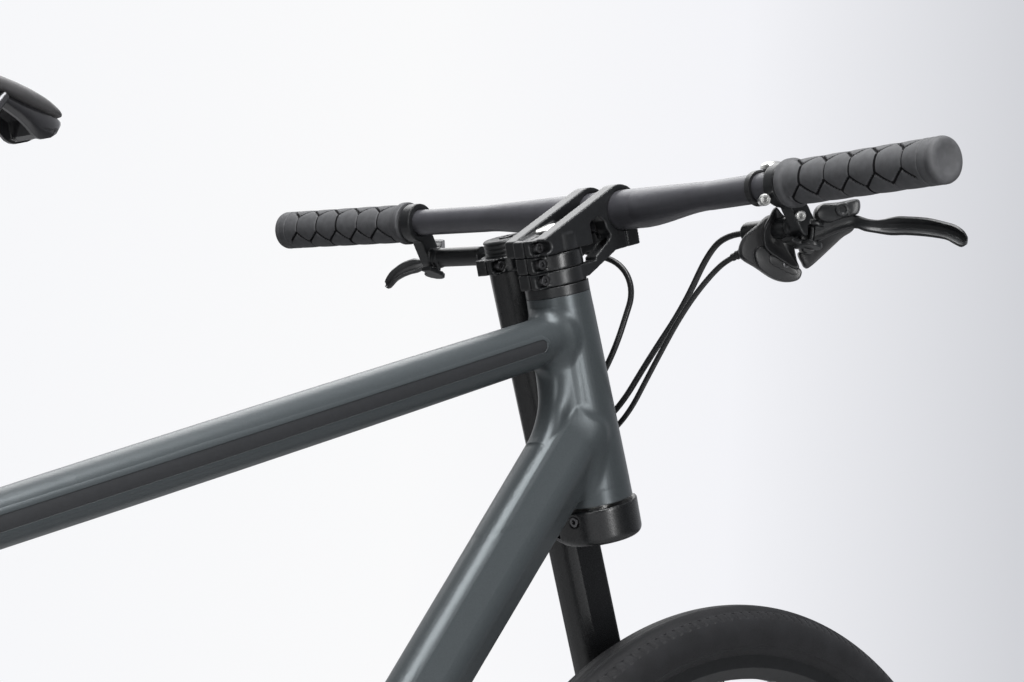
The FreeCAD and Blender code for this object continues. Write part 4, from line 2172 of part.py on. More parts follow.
rear_entry = rear_caliper_at + rear_radial * (sheet.caliper_half_height + sheet.press_gap) + axis_y * sheet.hose_entry
head_share = sheet.down_tube_head_share
foot_share = sheet.down_tube_foot_share
rear_points = [
    swing(right_start),
    swing(right_lead),
    *[swing(point) for point in route("rear_hose", 5)],
    tube_side(down_run - sheet.cord_join, sheet.hose_level, head_share, sheet.hose_clear),
    tube_side(sheet.cord_leave, sheet.hose_level, foot_share, sheet.hose_clear),
    bracket + Vector(-sheet.hose_shell_back, sheet.hose_shell_side, sheet.hose_shell_up),
    stay_side(sheet.hose_stay_at, sheet.hose_stay_up, sheet.hose_stay_side),
    stay_side(sheet.hose_rise_at, sheet.hose_stay_up, sheet.hose_rise_side),
    rear_entry + rear_radial * sheet.hose_run_in,
    rear_entry,
]
node(cord("rear_brake_hose", rear_points, easy_bends(rear_points), sheet.hose_radius), "rear_brake_hose")

cable_out = pod_place.multVec(Vector(0, sheet.pod_radius + sheet.press_gap, 0))
cable_lead = pod_place.multVec(Vector(0, sheet.pod_radius + sheet.cord_lead, 0))
cable_points = [
    swing(end_place.multVec(cable_out)),
    swing(end_place.multVec(cable_lead)),
    *[swing(point) for point in route("cable", 5)],
    tube_side(down_run - sheet.cord_join, -sheet.cable_level, head_share, sheet.hose_clear),
    tube_side(sheet.cord_leave, -sheet.cable_level, foot_share, sheet.hose_clear),
    tube_side(sheet.cable_dive_at, -sheet.cable_dive_down, 0, sheet.cable_dive_side),
    bracket + Vector(0, sheet.cable_under_side, -sheet.cable_under),
    stay_side(sheet.stay_sprocket_at, -sheet.stay_sprocket_up - sheet.cable_stay_clear, -sheet.stay_sprocket_out),
    stay_side(sheet.stay_tyre_at, -sheet.stay_tyre_up - sheet.cable_stay_clear, -sheet.stay_tyre_out),
    stay_side(sheet.stay_middle_at, -sheet.stay_middle_up - sheet.cable_stay_clear, -sheet.stay_middle_out),
    stay_side(sheet.cable_end_at, -sheet.stay_middle_up - sheet.cable_stay_clear, -sheet.cable_end_side),
]
node(cord("shift_cable", cable_points, easy_bends(cable_points), sheet.cable_radius), "shift_cable")

# Check and hand over

doc.recompute()
os.makedirs("parts", exist_ok=True)
for item in doc.Objects:
    if "Invalid" in item.State or "Error" in item.State:
        raise RuntimeError("%s (%s) does not recompute" % (item.Name, item.Label))
for item in nodes:
    if item.Shape.isNull() or not item.Shape.isValid():
        raise RuntimeError("%s has no valid shape" % item.Label)
    item.Shape.exportStep("parts/%s.step" % item.Label)
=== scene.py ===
from math import cos, hypot, inf, pi, radians, sin, sqrt

import bmesh
import bpy
from mathutils import Matrix, Quaternion, Vector
from mathutils.bvhtree import BVHTree


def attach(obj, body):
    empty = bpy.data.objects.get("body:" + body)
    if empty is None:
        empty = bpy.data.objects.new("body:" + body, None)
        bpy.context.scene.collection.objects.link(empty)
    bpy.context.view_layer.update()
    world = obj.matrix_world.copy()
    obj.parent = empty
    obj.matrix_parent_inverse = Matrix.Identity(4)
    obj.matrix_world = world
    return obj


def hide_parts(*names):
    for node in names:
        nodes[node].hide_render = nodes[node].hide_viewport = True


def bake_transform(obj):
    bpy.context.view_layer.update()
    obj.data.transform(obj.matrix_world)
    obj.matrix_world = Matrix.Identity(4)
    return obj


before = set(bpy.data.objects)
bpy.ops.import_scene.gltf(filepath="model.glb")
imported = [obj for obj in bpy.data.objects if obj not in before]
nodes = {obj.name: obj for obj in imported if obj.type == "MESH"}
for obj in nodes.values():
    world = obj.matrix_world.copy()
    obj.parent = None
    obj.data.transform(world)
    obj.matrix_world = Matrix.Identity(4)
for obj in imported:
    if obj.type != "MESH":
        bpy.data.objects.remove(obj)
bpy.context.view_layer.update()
meshes = bpy.data.meshes
scene = bpy.context.scene
scene.view_settings.view_transform = "Standard"
mm = 0.001
axisY = Vector((0, 1, 0))
axisZ = Vector((0, 0, 1))
sharpAngle = radians(38)
mergeGap = 0.00001

# Frame points from the part, in metres

headFoot = Vector((359.535, 0, 751.555)) * mm
headTop = Vector((304.064, 0, 909.073)) * mm
steerAxis = (headTop - headFoot).normalized()
rearAxle = Vector((-555, 0, 338)) * mm
frontAxle = Vector((554.496, -7.069, 337.822)) * mm
steerRest = radians(-8.65)
headTilt = radians(70.6 - 90)
forkPlace = (Matrix.Translation(headFoot) @ Matrix.Rotation(headTilt, 4, "Y")
             @ Matrix.Rotation(steerRest, 4, "Z"))
barEnd = dict(place=(29, -363, 236.8), turn=(0.998257, -0.02250244, -0.00122952, -0.05454436))
endPlace = (Matrix.Translation(Vector(barEnd["place"]) * mm)
            @ Quaternion(barEnd["turn"]).to_matrix().to_4x4())
mirror = Matrix.Diagonal((1, -1, 1, 1))
bothSides = (Matrix.Identity(4), mirror)


def addObject(name, data):
    made = bpy.data.objects.new(name, data)
    scene.collection.objects.link(made)
    return made


def meshFrom(name, grid):
    mesh = meshes.new(name)
    grid.to_mesh(mesh)
    grid.free()
    return mesh


# Camera, at the photograph's place
def setCamera():
    yaw, pitch, roll = radians(50.998), radians(-7.949), radians(1.870)
    focalPixels, imageWidth, sensor = 2260.62, 1024, 36
    away = Vector((-1388.06, -1079.0, -284.01)) * mm
    level = cos(pitch)
    look = Vector((sin(yaw) * level, cos(yaw) * level, -sin(pitch)))
    right = look.cross(axisZ).normalized()
    up = right.cross(look)
    turnedRight = right * cos(roll) + up * sin(roll)
    turnedUp = up * cos(roll) - right * sin(roll)
    data = bpy.data.cameras.new("camera")
    data.sensor_width = sensor
    data.lens = focalPixels / imageWidth * sensor
    data.clip_start, data.clip_end = 0.01, 100
    camera = addObject("camera", data)
    turn = Matrix((turnedRight, turnedUp, -look)).transposed()
    camera.matrix_world = Matrix.Translation(headTop + away) @ turn.to_4x4()
    scene.camera = camera
    return look, right


look, cameraRight = setCamera()
print("camera set")

# Materials


def newMaterial(name):
    material = bpy.data.materials.new(name)
    material.use_nodes = True
    tree = material.node_tree
    tree.nodes.clear()
    shader = tree.nodes.new("ShaderNodeBsdfPrincipled")
    output = tree.nodes.new("ShaderNodeOutputMaterial")
    tree.links.new(shader.outputs["BSDF"], output.inputs["Surface"])
    return material, tree, shader


def addNode(tree, kind, **values):
    made = tree.nodes.new(kind)
    for key, value in values.items():
        if key in made.inputs:
            made.inputs[key].default_value = value
        else:
            setattr(made, key, value)
    return made


def noiseOf(tree, scale, detail, stretch=(1, 1, 1)):
    place = addNode(tree, "ShaderNodeTexCoord")
    squeeze = addNode(tree, "ShaderNodeMapping", Scale=stretch)
    noise = addNode(tree, "ShaderNodeTexNoise", Scale=scale, Detail=detail)
    tree.links.new(place.outputs["Object"], squeeze.inputs["Vector"])
    tree.links.new(squeeze.outputs["Vector"], noise.inputs["Vector"])
    return noise


def rangeOf(tree, source, span, low=0.0, high=1.0):
    spread = addNode(tree, "ShaderNodeMapRange")
    for name, value in zip(("From Min", "From Max", "To Min", "To Max"), (*span, low, high)):
        spread.inputs[name].default_value = value
    tree.links.new(source, spread.inputs["Value"])
    return spread


def rampOf(tree, source, stops):
    ramp = addNode(tree, "ShaderNodeValToRGB")
    elements = ramp.color_ramp.elements
    while len(elements) < len(stops):
        elements.new(0.5)
    for element, (place, colour) in zip(elements, stops):
        element.position = place
        element.color = (*colour, 1)
    tree.links.new(source, ramp.inputs["Fac"])
    return ramp


def tint(colour, share):
    return tuple(part * share for part in colour)


def surface(name, colour, rough, vary=0.12, cloud=40, grain=900, bump=0.1, depth=0.00005, metallic=0.0,
            coat=0.0, sheen=0.0, specular=0.5, edge=0.0005, roughVary=0.08, stretch=(1, 1, 1)):
    noiseSpan = (0.3, 0.7)
    material, tree, shader = newMaterial(name)
    link = tree.links.new
    clouds = noiseOf(tree, cloud, 5.0)
    shades = [tint(colour, 1 - vary), tint(colour, 1 + vary)]
    ramp = rampOf(tree, clouds.outputs["Fac"], list(zip(noiseSpan, shades)))
    link(ramp.outputs["Color"], shader.inputs["Base Color"])
    fine = noiseOf(tree, grain, 3.0, stretch)
    spread = rangeOf(tree, fine.outputs["Fac"], noiseSpan, rough - roughVary, rough + roughVary)
    link(spread.outputs["Result"], shader.inputs["Roughness"])
    lift = addNode(tree, "ShaderNodeBump", Strength=bump, Distance=depth)
    link(fine.outputs["Fac"], lift.inputs["Height"])
    if edge:
        soften = addNode(tree, "ShaderNodeBevel", Radius=edge, samples=4)
        link(soften.outputs["Normal"], lift.inputs["Normal"])
    link(lift.outputs["Normal"], shader.inputs["Normal"])
    values = {"Metallic": metallic, "Coat Weight": coat, "Coat Roughness": 0.25, "Sheen Weight": sheen,
              "Specular IOR Level": specular}
    for key, value in values.items():
        shader.inputs[key].default_value = value
    return material


framePaint = surface("framePaint", (0.056, 0.0645, 0.069), 0.34, vary=0.06, cloud=700, grain=2600, bump=0.12,
                     metallic=0.4, specular=0.3, edge=0.0008)
forkBlack = surface("forkBlack", (0.006, 0.0065, 0.0072), 0.28, vary=0.1, cloud=120, grain=2200, specular=0.45,
                    edge=0.0012)
alloyBlack = surface("alloyBlack", (0.012, 0.0127, 0.0138), 0.34, cloud=160, grain=2600, bump=0.14,
                     metallic=0.2, specular=0.45, edge=0.0012)
barBlack = surface("barBlack", (0.058, 0.058, 0.066), 0.40, vary=0.08, cloud=90, grain=2200, metallic=0.3,
                   coat=0.05)
steelBrushed = surface("steelBrushed", (0.5, 0.5, 0.49), 0.3, vary=0.1, cloud=50, grain=800, bump=0.15,
                       metallic=1.0, stretch=(1, 14, 1), edge=0.0002)
steelDark = surface("steelDark", (0.12, 0.12, 0.125), 0.32, vary=0.15, cloud=80, grain=1200, bump=0.12,
                    metallic=0.9, edge=0.0003)
chrome = surface("chrome", (0.66, 0.66, 0.64), 0.24, vary=0.04, cloud=30, grain=700, bump=0.05, metallic=1.0,
                 roughVary=0.04, edge=0.0004)
rubberTyre = surface("rubberTyre", (0.010, 0.0102, 0.0116), 0.62, vary=0.25, cloud=60, grain=900, bump=0.25,
                     depth=0.0001, specular=0.3, edge=0)
rubberGrip = surface("rubberGrip", (0.064, 0.065, 0.069), 0.68, vary=0.15, cloud=200, grain=3200, bump=0.35,
                     depth=0.00008, specular=0.4, edge=0.0003)
# Painted shade: the grip rubber made much darker and rougher, laid in the honeycomb grooves
rubberGroovePaintedShade = surface("rubberGroovePaintedShade", (0.006, 0.006, 0.0068), 0.85, vary=0.15, cloud=200, grain=3200, bump=0.2,
                       depth=0.00008, specular=0.15, edge=0)
rubberStrip = surface("rubberStrip", (0.015, 0.016, 0.018), 0.55, vary=0.1, cloud=300, grain=4200, bump=0.3,
                      depth=0.00006, specular=0.4)
plasticBlack = surface("plasticBlack", (0.012, 0.0122, 0.0132), 0.36, vary=0.15, cloud=140, grain=2600,
                       bump=0.2, edge=0.0006)
plasticGloss = surface("plasticGloss", (0.012, 0.012, 0.0135), 0.14, cloud=30, grain=400, bump=0.04, coat=0.4,
                       roughVary=0.04)
hoseBlack = surface("hoseBlack", (0.014, 0.0145, 0.0155), 0.36, cloud=90, grain=1500, edge=0)
saddleSkin = surface("saddleSkin", (0.036, 0.0352, 0.0365), 0.55, vary=0.18, cloud=120, grain=1900, bump=0.4,
                     depth=0.00012, sheen=0.08, edge=0)
beltRubber = surface("beltRubber", (0.016, 0.016, 0.017), 0.55, vary=0.2, cloud=200, grain=1500, bump=0.25,
                     edge=0)

nodeFinish = {
    framePaint: ("head_tube", "top_tube", "down_tube", "seat_tube", "bottom_bracket_shell", "chainstays",
                 "seatstays"),
    forkBlack: ("lower_crown", "fork_leg", "upper_crown"),
    alloyBlack: ("stem", "headset_spacer", "fork_cap", "seatpost", "seat_clamp", "front_hub", "rear_hub",
                 "front_rim", "rear_rim", "crank_left", "crank_right", "front_caliper", "rear_caliper",
                 "brake_body_right", "brake_body_left", "brake_lever_right", "brake_lever_left",
                 "bottom_bracket_cups", "front_sprocket"),
    barBlack: ("handlebar",),
    steelBrushed: ("front_rotor", "rear_rotor", "rear_sprocket", "pedal_axles", "rear_axle", "steerer"),
    steelDark: ("cockpit_bolts", "front_spokes", "rear_spokes", "saddle_rails", "headset_bearings"),
    chrome: ("bell", "bell_striker", "stem_cap"),
    rubberTyre: ("front_tyre", "rear_tyre"),
    rubberGrip: ("grips",),
    rubberStrip: ("top_tube_bumper",),
    plasticBlack: ("shifter_body", "shift_lever", "release_lever", "pedal_left", "pedal_right"),
    plasticGloss: ("saddle_base",),
    hoseBlack: ("front_brake_hose", "rear_brake_hose", "shift_cable"),
    saddleSkin: ("saddle_cover",),
    beltRubber: ("drive_belt",),
}
for finish, names in nodeFinish.items():
    for name in names:
        slots = nodes[name].material_slots
        if len(slots) == 0:
            nodes[name].data.materials.append(finish)
        for slot in slots:
            slot.material = finish
print("materials set")

# Floor, backdrop light and lamps

stage = dict(span=(-0.22, 0.22), fill=0.15, fadeSpan=(-0.2, 0.8), fadeLow=0.1, fadeHigh=0.85, reach=14.0,
             sides=96, bounce=(0.2, 0.2, 0.205, 1), mirrored=0.5)
backdrop = [(0.0, (0.93, 0.935, 0.955)), (0.4, (0.955, 0.957, 0.965)), (0.72, (0.9, 0.905, 0.94)),
            (1.0, (0.64, 0.65, 0.685))]


# The floor stays pale in view and gives less light back to the object's underside
def darkenBounce(material):
    tree = material.node_tree
    link = tree.links.new
    shader = next(each for each in tree.nodes if each.type == "BSDF_PRINCIPLED")
    pale = shader.inputs["Base Color"].links[0].from_socket
    path = addNode(tree, "ShaderNodeLightPath")
    half = addNode(tree, "ShaderNodeMath", operation="MULTIPLY")
    half.inputs[1].default_value = stage["mirrored"]
    link(path.outputs["Is Glossy Ray"], half.inputs[0])
    most = addNode(tree, "ShaderNodeMath", operation="MAXIMUM")
    link(path.outputs["Is Camera Ray"], most.inputs[0])
    link(half.outputs["Value"], most.inputs[1])
    mix = addNode(tree, "ShaderNodeMix", data_type="RGBA")
    mix.inputs[6].default_value = stage["bounce"]
    link(most.outputs["Value"], mix.inputs[0])
    link(pale, mix.inputs[7])
    link(mix.outputs[2], shader.inputs["Base Color"])


# How far a ray of the world points along an axis
def alongOf(tree, place, axis):
    product = addNode(tree, "ShaderNodeVectorMath", operation="DOT_PRODUCT")
    product.inputs[1].default_value = axis
    tree.links.new(place.outputs["Generated"], product.inputs[0])
    return product.outputs["Value"]


def mixShaders(tree, share, first, second):
    mix = addNode(tree, "ShaderNodeMixShader")
    for slot, source in zip(("Fac", 1, 2), (share, first, second)):
        tree.links.new(source, mix.inputs[slot])
    return mix.outputs["Shader"]


# The camera sees the backdrop, mirrors see it fade behind the camera, and the rest gets a weak fill
def setWorld():
    world = bpy.data.worlds.new("world")
    scene.world = world
    world.use_nodes = True
    tree = world.node_tree
    tree.nodes.clear()
    link = tree.links.new
    output = addNode(tree, "ShaderNodeOutputWorld")
    place = addNode(tree, "ShaderNodeTexCoord")
    spread = rangeOf(tree, alongOf(tree, place, cameraRight), stage["span"])
    ramp = rampOf(tree, spread.outputs["Result"], backdrop)
    shown = addNode(tree, "ShaderNodeBackground", Strength=1.0)
    link(ramp.outputs["Color"], shown.inputs["Color"])
    fill = addNode(tree, "ShaderNodeBackground", Color=(0.9, 0.92, 0.96, 1), Strength=stage["fill"])
    fade = rangeOf(tree, alongOf(tree, place, look), stage["fadeSpan"], stage["fadeLow"], stage["fadeHigh"])
    mirrored = addNode(tree, "ShaderNodeBackground")
    link(ramp.outputs["Color"], mirrored.inputs["Color"])
    link(fade.outputs["Result"], mirrored.inputs["Strength"])
    path = addNode(tree, "ShaderNodeLightPath")
    shiny = addNode(tree, "ShaderNodeMath", operation="MAXIMUM")
    link(path.outputs["Is Glossy Ray"], shiny.inputs[0])
    link(path.outputs["Is Transmission Ray"], shiny.inputs[1])
    unseen = mixShaders(tree, shiny.outputs["Value"], fill.outputs[0], mirrored.outputs[0])
    whole = mixShaders(tree, path.outputs["Is Camera Ray"], unseen, shown.outputs[0])
    link(whole, output.inputs["Surface"])


def addFloor():
    grid = bmesh.new()
    bmesh.ops.create_circle(grid, cap_ends=True, segments=stage["sides"], radius=stage["reach"])
    floor = addObject("floor", meshFrom("floor", grid))
    material = surface("floorPale", (0.8, 0.805, 0.815), 0.75, vary=0.01, cloud=3, grain=60, bump=0.02, edge=0)
    darkenBounce(material)
    floor.data.materials.append(material)


def addLamp(name, place, aim, size, power):
    data = bpy.data.lights.new(name, "AREA")
    data.shape = "RECTANGLE"
    data.size, data.size_y = size
    data.energy = power
    lamp = addObject(name, data)
    lamp.visible_camera = False
    place, aim = Vector(place), Vector(aim)
    turn = (aim - place).to_track_quat("-Z", "Y").to_matrix()
    lamp.matrix_world = Matrix.Translation(place) @ turn.to_4x4()


setWorld()
addFloor()
addLamp("lampTop", (-0.45, -0.55, 2.9), (0.1, 0, 0.9), (1.8, 1.8), 118)
addLamp("lampBack", (1.2, 1.7, 2.9), (0.2, 0, 0.9), (2.0, 1.6), 26)
addLamp("lampRight", (-0.3, -2.5, 0.8), (0.2, 0, 0.85), (0.5, 1.5), 40)
addLamp("lampLeft", (-2.3, -1.0, 0.7), (0.2, 0, 0.85), (0.4, 1.2), 15)
print("stage set")

# Piece making


def addPiece(name, grid, finishes, body=None, replaced=()):
    bmesh.ops.recalc_face_normals(grid, faces=grid.faces[:])
    mesh = meshFrom(name, grid)
    piece = addObject(name, mesh)
    for finish in finishes:
        mesh.materials.append(finish)
    mesh.shade_smooth()
    mesh.set_sharp_from_angle(angle=sharpAngle)
    if body:
        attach(piece, body)
    if replaced:
        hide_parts(*replaced)
    return piece


# A node's own mesh in the shared frame, ready to be changed
def gridOf(name):
    grid = bmesh.new()
    grid.from_mesh(nodes[name].data)
    grid.transform(nodes[name].matrix_world)
    return grid


def takeMesh(piece):
    graph = bpy.context.evaluated_depsgraph_get()
    return meshes.new_from_object(piece.evaluated_get(graph))


# The same form as one closed skin of small, even faces
def voxelGrid(name, grid, voxel):
    mesh = meshFrom(name, grid)
    holder = addObject(name, mesh)
    remesh = holder.modifiers.new("remesh", "REMESH")
    remesh.mode = "VOXEL"
    remesh.voxel_size = voxel * mm
    made = takeMesh(holder)
    bpy.data.objects.remove(holder)
    meshes.remove(mesh)
    even = bmesh.new()
    even.from_mesh(made)
    meshes.remove(made)
    return even


def smoothGrid(grid, rounds, factor=0.5):
    for each in range(rounds):
        bmesh.ops.smooth_vert(grid, verts=grid.verts, factor=factor, use_axis_x=True, use_axis_y=True,
                              use_axis_z=True)


# A smooth line along the route's points, read from a NURBS spline
def splineLine(name, points, steps):
    data = bpy.data.curves.new(name, "CURVE")
    data.dimensions = "3D"
    line = data.splines.new("NURBS")
    line.points.add(len(points) - 1)
    for knot, point in zip(line.points, points):
        knot.co = (*point, 1)
    line.order_u = 3
    line.use_endpoint_u = True
    data.resolution_u = steps
    holder = addObject(name, data)
    bpy.context.view_layer.update()
    mesh = meshes.new_from_object(holder)
    path = [vertex.co.copy() for vertex in mesh.vertices]
    bpy.data.objects.remove(holder)
    meshes.remove(mesh)
    bpy.data.curves.remove(data)
    return path


# Rings of points along a path, skinned into a closed tube
def tubeAlong(grid, path, radiusAt):
    sides = 14
    rings = []
    side = None
    for index, point in enumerate(path):
        before = path[max(0, index - 1)]
        after = path[min(len(path) - 1, index + 1)]
        heading = (after - before).normalized()
        if side is None:
            side = heading.orthogonal().normalized()
        side = (side - heading * side.dot(heading)).normalized()
        other = heading.cross(side)
        radius = radiusAt(index / (len(path) - 1))
        ring = []
        for step in range(sides):
            turn = 2 * pi * step / sides
            ring.append(grid.verts.new(point + (side * cos(turn) + other * sin(turn)) * radius))
        rings.append(ring)
    skinRings(grid, rings, closedEnds=True)


def skinRings(grid, rings, closedEnds=False, loop=False):
    for first, second in zip(rings, rings[1:] + rings[:1] if loop else rings[1:]):
        count = len(first)
        for step in range(count):
            following = (step + 1) % count
            grid.faces.new((first[step], first[following], second[following], second[step]))
    if closedEnds:
        grid.faces.new(rings[0][::-1])
        grid.faces.new(rings[-1])


# Hoses and shift cable, laid as tubes along their routes

cords = {
    "rearHose": dict(radius=2.5, node="rear_brake_hose", start=(338, -140, 949), end=(271, 30, 743), points=[
        (333.3, -157.1, 948.1), (337.4, -139.4, 950.1), (344.3, -115.7, 941.3), (351.1, -87.9, 899.8),
        (365, -46.8, 863.8), (378.9, -5.6, 823.2), (389.2, 33.4, 807.6), (271.3, 29.7, 742.8),
        (-51.4, 25.04, 363), (-122.5, 31, 305), (-242.4, 37, 311.6), (-361.1, 53, 328.9), (-442.6, 58.5, 392.8),
        (-478.6, 58.5, 375.3)]),
    "shiftCable": dict(radius=2.2, node="shift_cable", start=(331, -157, 916), end=(282, 30, 734), points=[
        (323.3, -168.6, 933.7), (324.3, -152.8, 930.2), (331.8, -130, 923), (340.1, -96.4, 896.1),
        (361.7, -54, 858.2), (384.1, -8, 813.1), (394.7, 39.3, 794.7), (282, 29.7, 733.8),
        (-40.7, 25.04, 353.9), (-60.7, 22, 285.6), (-116.5, 6, 236), (-208.1, -29, 269.8), (-267.3, -41, 279.4),
        (-415.4, -58, 303.1), (-514.4, -62, 317.5)]),
}
cordSteps = 16
for name, cord in cords.items():
    path = splineLine(name, [Vector(point) * mm for point in cord["points"]], cordSteps)
    grid = bmesh.new()
    tubeAlong(grid, path, lambda share: cord["radius"] * mm)
    piece = addPiece(name, grid, [hoseBlack])
    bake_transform(piece)
    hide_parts(cord["node"])
print("cords laid")

# Tyres: smooth crown, knurled bands, notched shoulders and plain flanks

tyre = dict(ringRadius=314.5, tube=23.45, wall=3.2, units=200, unitSteps=6, knurlDepth=0.55, notchDepth=1.3,
            ribHeight=0.35, lineDepth=0.35)
crownRows = [0, 3, 6, 9, 12, 14, 15]
knurlRows = [17, 19.5, 22, 24.5, 27, 29.5, 32, 34.5, 37]
shoulderRows = [38.5, 40, 43, 47, 51, 55, 57]
flankRows = [59, 66, 75, 84, 93, 102, 111, 114, 115, 117, 118, 122, 130, 138, 145]
innerRows = [140, 120, 95, 70, 45, 20]
lineRows = (6, 14)
ribRows = (115, 117)


def tyreHeight(angle, step):
    if angle in lineRows:
        return -tyre["lineDepth"]
    if angle in knurlRows:
        row = knurlRows.index(angle)
        return -tyre["knurlDepth"] * ((row + step) % 2)
    if angle in shoulderRows[1:-1]:
        notch = shoulderRows.index(angle) // 2 % tyre["unitSteps"]
        return -tyre["notchDepth"] if step % tyre["unitSteps"] == notch else 0.0
    if angle in ribRows:
        return tyre["ribHeight"]
    return 0.0


def makeTyre(name, place, body, node):
    grid = bmesh.new()
    outer = crownRows + knurlRows + shoulderRows + flankRows
    rows = [(angle, 1) for angle in reversed(outer)] + [(angle, -1) for angle in outer[1:]]
    inner = [(angle, -1) for angle in innerRows] + [(angle, 1) for angle in reversed(innerRows)]
    count = tyre["units"] * tyre["unitSteps"]
    rings = []
    for step in range(count):
        turn = 2 * pi * step / count
        outward = Vector((sin(turn), 0, cos(turn)))
        ring = []
        for number, (angle, side) in enumerate(rows + inner):
            bend = radians(angle)
            shrink = tyreHeight(angle, step) if number < len(rows) else -tyre["wall"]
            tube = tyre["tube"] + shrink
            point = outward * (tyre["ringRadius"] + tube * cos(bend))
            point += axisY * (side * tube * sin(bend))
            ring.append(grid.verts.new(place @ (point * mm)))
        rings.append(ring)
    skinRings(grid, rings, loop=True)
    return addPiece(name, grid, [rubberTyre], body, [node])


wheelTurn = forkPlace.to_3x3().to_4x4()
makeTyre("frontTyre", Matrix.Translation(frontAxle) @ wheelTurn, "front_wheel", "front_tyre")
makeTyre("rearTyre", Matrix.Translation(rearAxle), "rear_wheel", "rear_tyre")
print("tyres made")

# Grips: honeycomb grooves with painted shade in them, inner flange and a dished end cap

grip = dict(radius=16.6, flange=18.3, length=150, cap=3.2, bore=11.15, cellLength=25, rows=4, squeeze=0.76,
            phase=64, grooveHalf=0.95, grooveDepth=1.8, grooveSlope=1.8, paintedShadeShare=0.55, pillow=0.4,
            pillowRun=6, around=132, along=0.62, denseStart=12, denseStop=9, patternStart=14, patternEnd=139)


def honeycomb(along, around):
    perimeter = 2 * pi * grip["radius"]
    rowGap = perimeter / grip["rows"] * grip["squeeze"]
    best = second = inf
    rowFloat = around * grip["squeeze"] / rowGap
    for row in range(int(rowFloat) - 2, int(rowFloat) + 3):
        offset = 0.5 * (row % 2)
        column = round(along / grip["cellLength"] - offset)
        for each in (column - 1, column, column + 1):
            dx = along - (each + offset) * grip["cellLength"]
            dy = around * grip["squeeze"] - row * rowGap
            distance = hypot(dx, dy)
            if distance < best:
                best, second = distance, best
            elif distance < second:
                second = distance
    return (second - best) / 2


def gripHeight(along, around):
    if along < grip["patternStart"] or along > grip["patternEnd"]:
        return 0.0
    edge = honeycomb(along, around)
    groove = max(0, 1 - edge / grip["grooveHalf"])
    groove = min(1, groove * grip["grooveSlope"])
    swell = grip["pillow"] * (min(1, edge / grip["pillowRun"]) - 1)
    return -grip["grooveDepth"] * groove + swell * (1 - groove)


def gripProfile():
    radius, flange, length, cap = grip["radius"], grip["flange"], grip["length"], grip["cap"]
    bore = grip["bore"]
    steps = [(0, -cap + 0.9), (7.2, -cap + 0.9), (8.2, -cap + 0.5), (9.4, -cap + 0.5), (10.2, -cap),
             (13.2, -cap), (14.8, -cap + 0.3), (16, -cap + 1.2), (16.6, -cap + 2.8), (16.7, 1.6), (16.3, 2.6),
             (16.3, 3.4), (radius, 4.2), (radius, 9), (radius - 0.5, 9.6), (radius - 0.5, 10.6),
             (radius, 11.2)]
    along = grip["denseStart"]
    while along < length - grip["denseStop"]:
        steps.append((radius, along))
        along += grip["along"]
    steps += [(radius, length - 8.4), (flange - 0.6, length - 6.4), (flange, length - 5.2),
              (flange, length - 1), (flange - 0.8, length), (bore, length), (bore, length - 6),
              (bore - 0.2, 1)]
    return steps


def makeGrips():
    grid = bmesh.new()
    count = grip["around"]
    phase = radians(grip["phase"])
    for side in bothSides:
        place = forkPlace @ side @ endPlace
        before = len(grid.faces)
        rings = []
        for radius, along in gripProfile():
            if radius == 0.0:
                centre = grid.verts.new(place @ (Vector((0, along, 0)) * mm))
                continue
            ring = []
            for step in range(count):
                turn = 2 * pi * step / count
                lift = gripHeight(along, (turn - phase) * radius) if radius == grip["radius"] else 0.0
                reach = radius + lift
                spot = Vector((reach * cos(turn), along, reach * sin(turn)))
                ring.append(grid.verts.new(place @ (spot * mm)))
            rings.append(ring)
        skinRings(grid, rings)
        for step in range(count):
            grid.faces.new((centre, rings[0][(step + 1) % count], rings[0][step]))
        grid.faces.new(rings[-1])
        # Faces deep in the honeycomb grooves take the painted groove shade
        inward = place.inverted()
        for face in grid.faces[before:]:
            spot = inward @ face.calc_center_median() / mm
            deep = hypot(spot.x, spot.z) < grip["radius"] - grip["grooveDepth"] * grip["paintedShadeShare"]
            face.material_index = int(deep and grip["patternStart"] < spot.y < grip["patternEnd"])
    return addPiece("gripRubber", grid, [rubberGrip, rubberGroovePaintedShade], "fork", ["grips"])


makeGrips()
print("grips made")

# Saddle: a padded cover swollen by cloth simulation over a glossy shell with an open nose

saddle = dict(noseX=-202.5, topZ=957, voxel=4, smoothing=4, shrink=1.6, cap=3.5, pressure=4, frames=20,
              underside=-0.5, rise=60, topNose=0.6, topBack=3.8, lowNose=3.4, lowBack=12, slice=6,
              forward=2, shellBack=1.6, shellLift=1, wall=2.4, wallShare=0.3, railRadius=3.5, railSteps=12)
railLine = [(-452, 36, 955), (-428, 30, 934), (-403, 22, 907.5), (-388, 22, 907), (-302, 22, 907),
            (-288, 22, 907.5), (-273, 19.5, 927), (-258, 16, 945)]
# Distance behind the nose, half width, top, depth of the walls and depth of the roof
shellStations = [
    (3.5, 5, -20.5, 1.5, 1.2), (6, 8.6, -20.9, 5, 4.4), (10, 11.6, -21.4, 9.4, 8.6),
    (16, 14.2, -22.1, 13.4, 12.4), (23, 15.9, -22.6, 16.4, 15.2), (27, 16.4, -22.8, 17, 14),
    (30.5, 16.8, -22.9, 16.4, 5), (36, 17.1, -22.9, 13.2, 3.2), (44, 17.6, -22.9, 10.4, 3),
    (56, 18.2, -22.6, 8.4, 3), (80, 19, -22.2, 7.6, 3), (110, 23.5, -21.8, 7.5, 3), (140, 31, -21.4, 7.2, 3),
    (170, 43, -19.8, 7, 3), (200, 57, -17.6, 7, 3), (225, 65, -14.6, 7, 3), (245, 68.5, -11.8, 6.6, 3),
    (258, 60, -8.2, 5.6, 3), (267, 47, -5.4, 4.6, 3)]


# How far the cover's top and its lower edge are lifted, by the distance behind the nose
def coverLift(at):
    share = min(1, max(0, at / saddle["rise"]))
    return (saddle["topNose"] + (saddle["topBack"] - saddle["topNose"]) * share,
            saddle["lowNose"] + (saddle["lowBack"] - saddle["lowNose"]) * share)


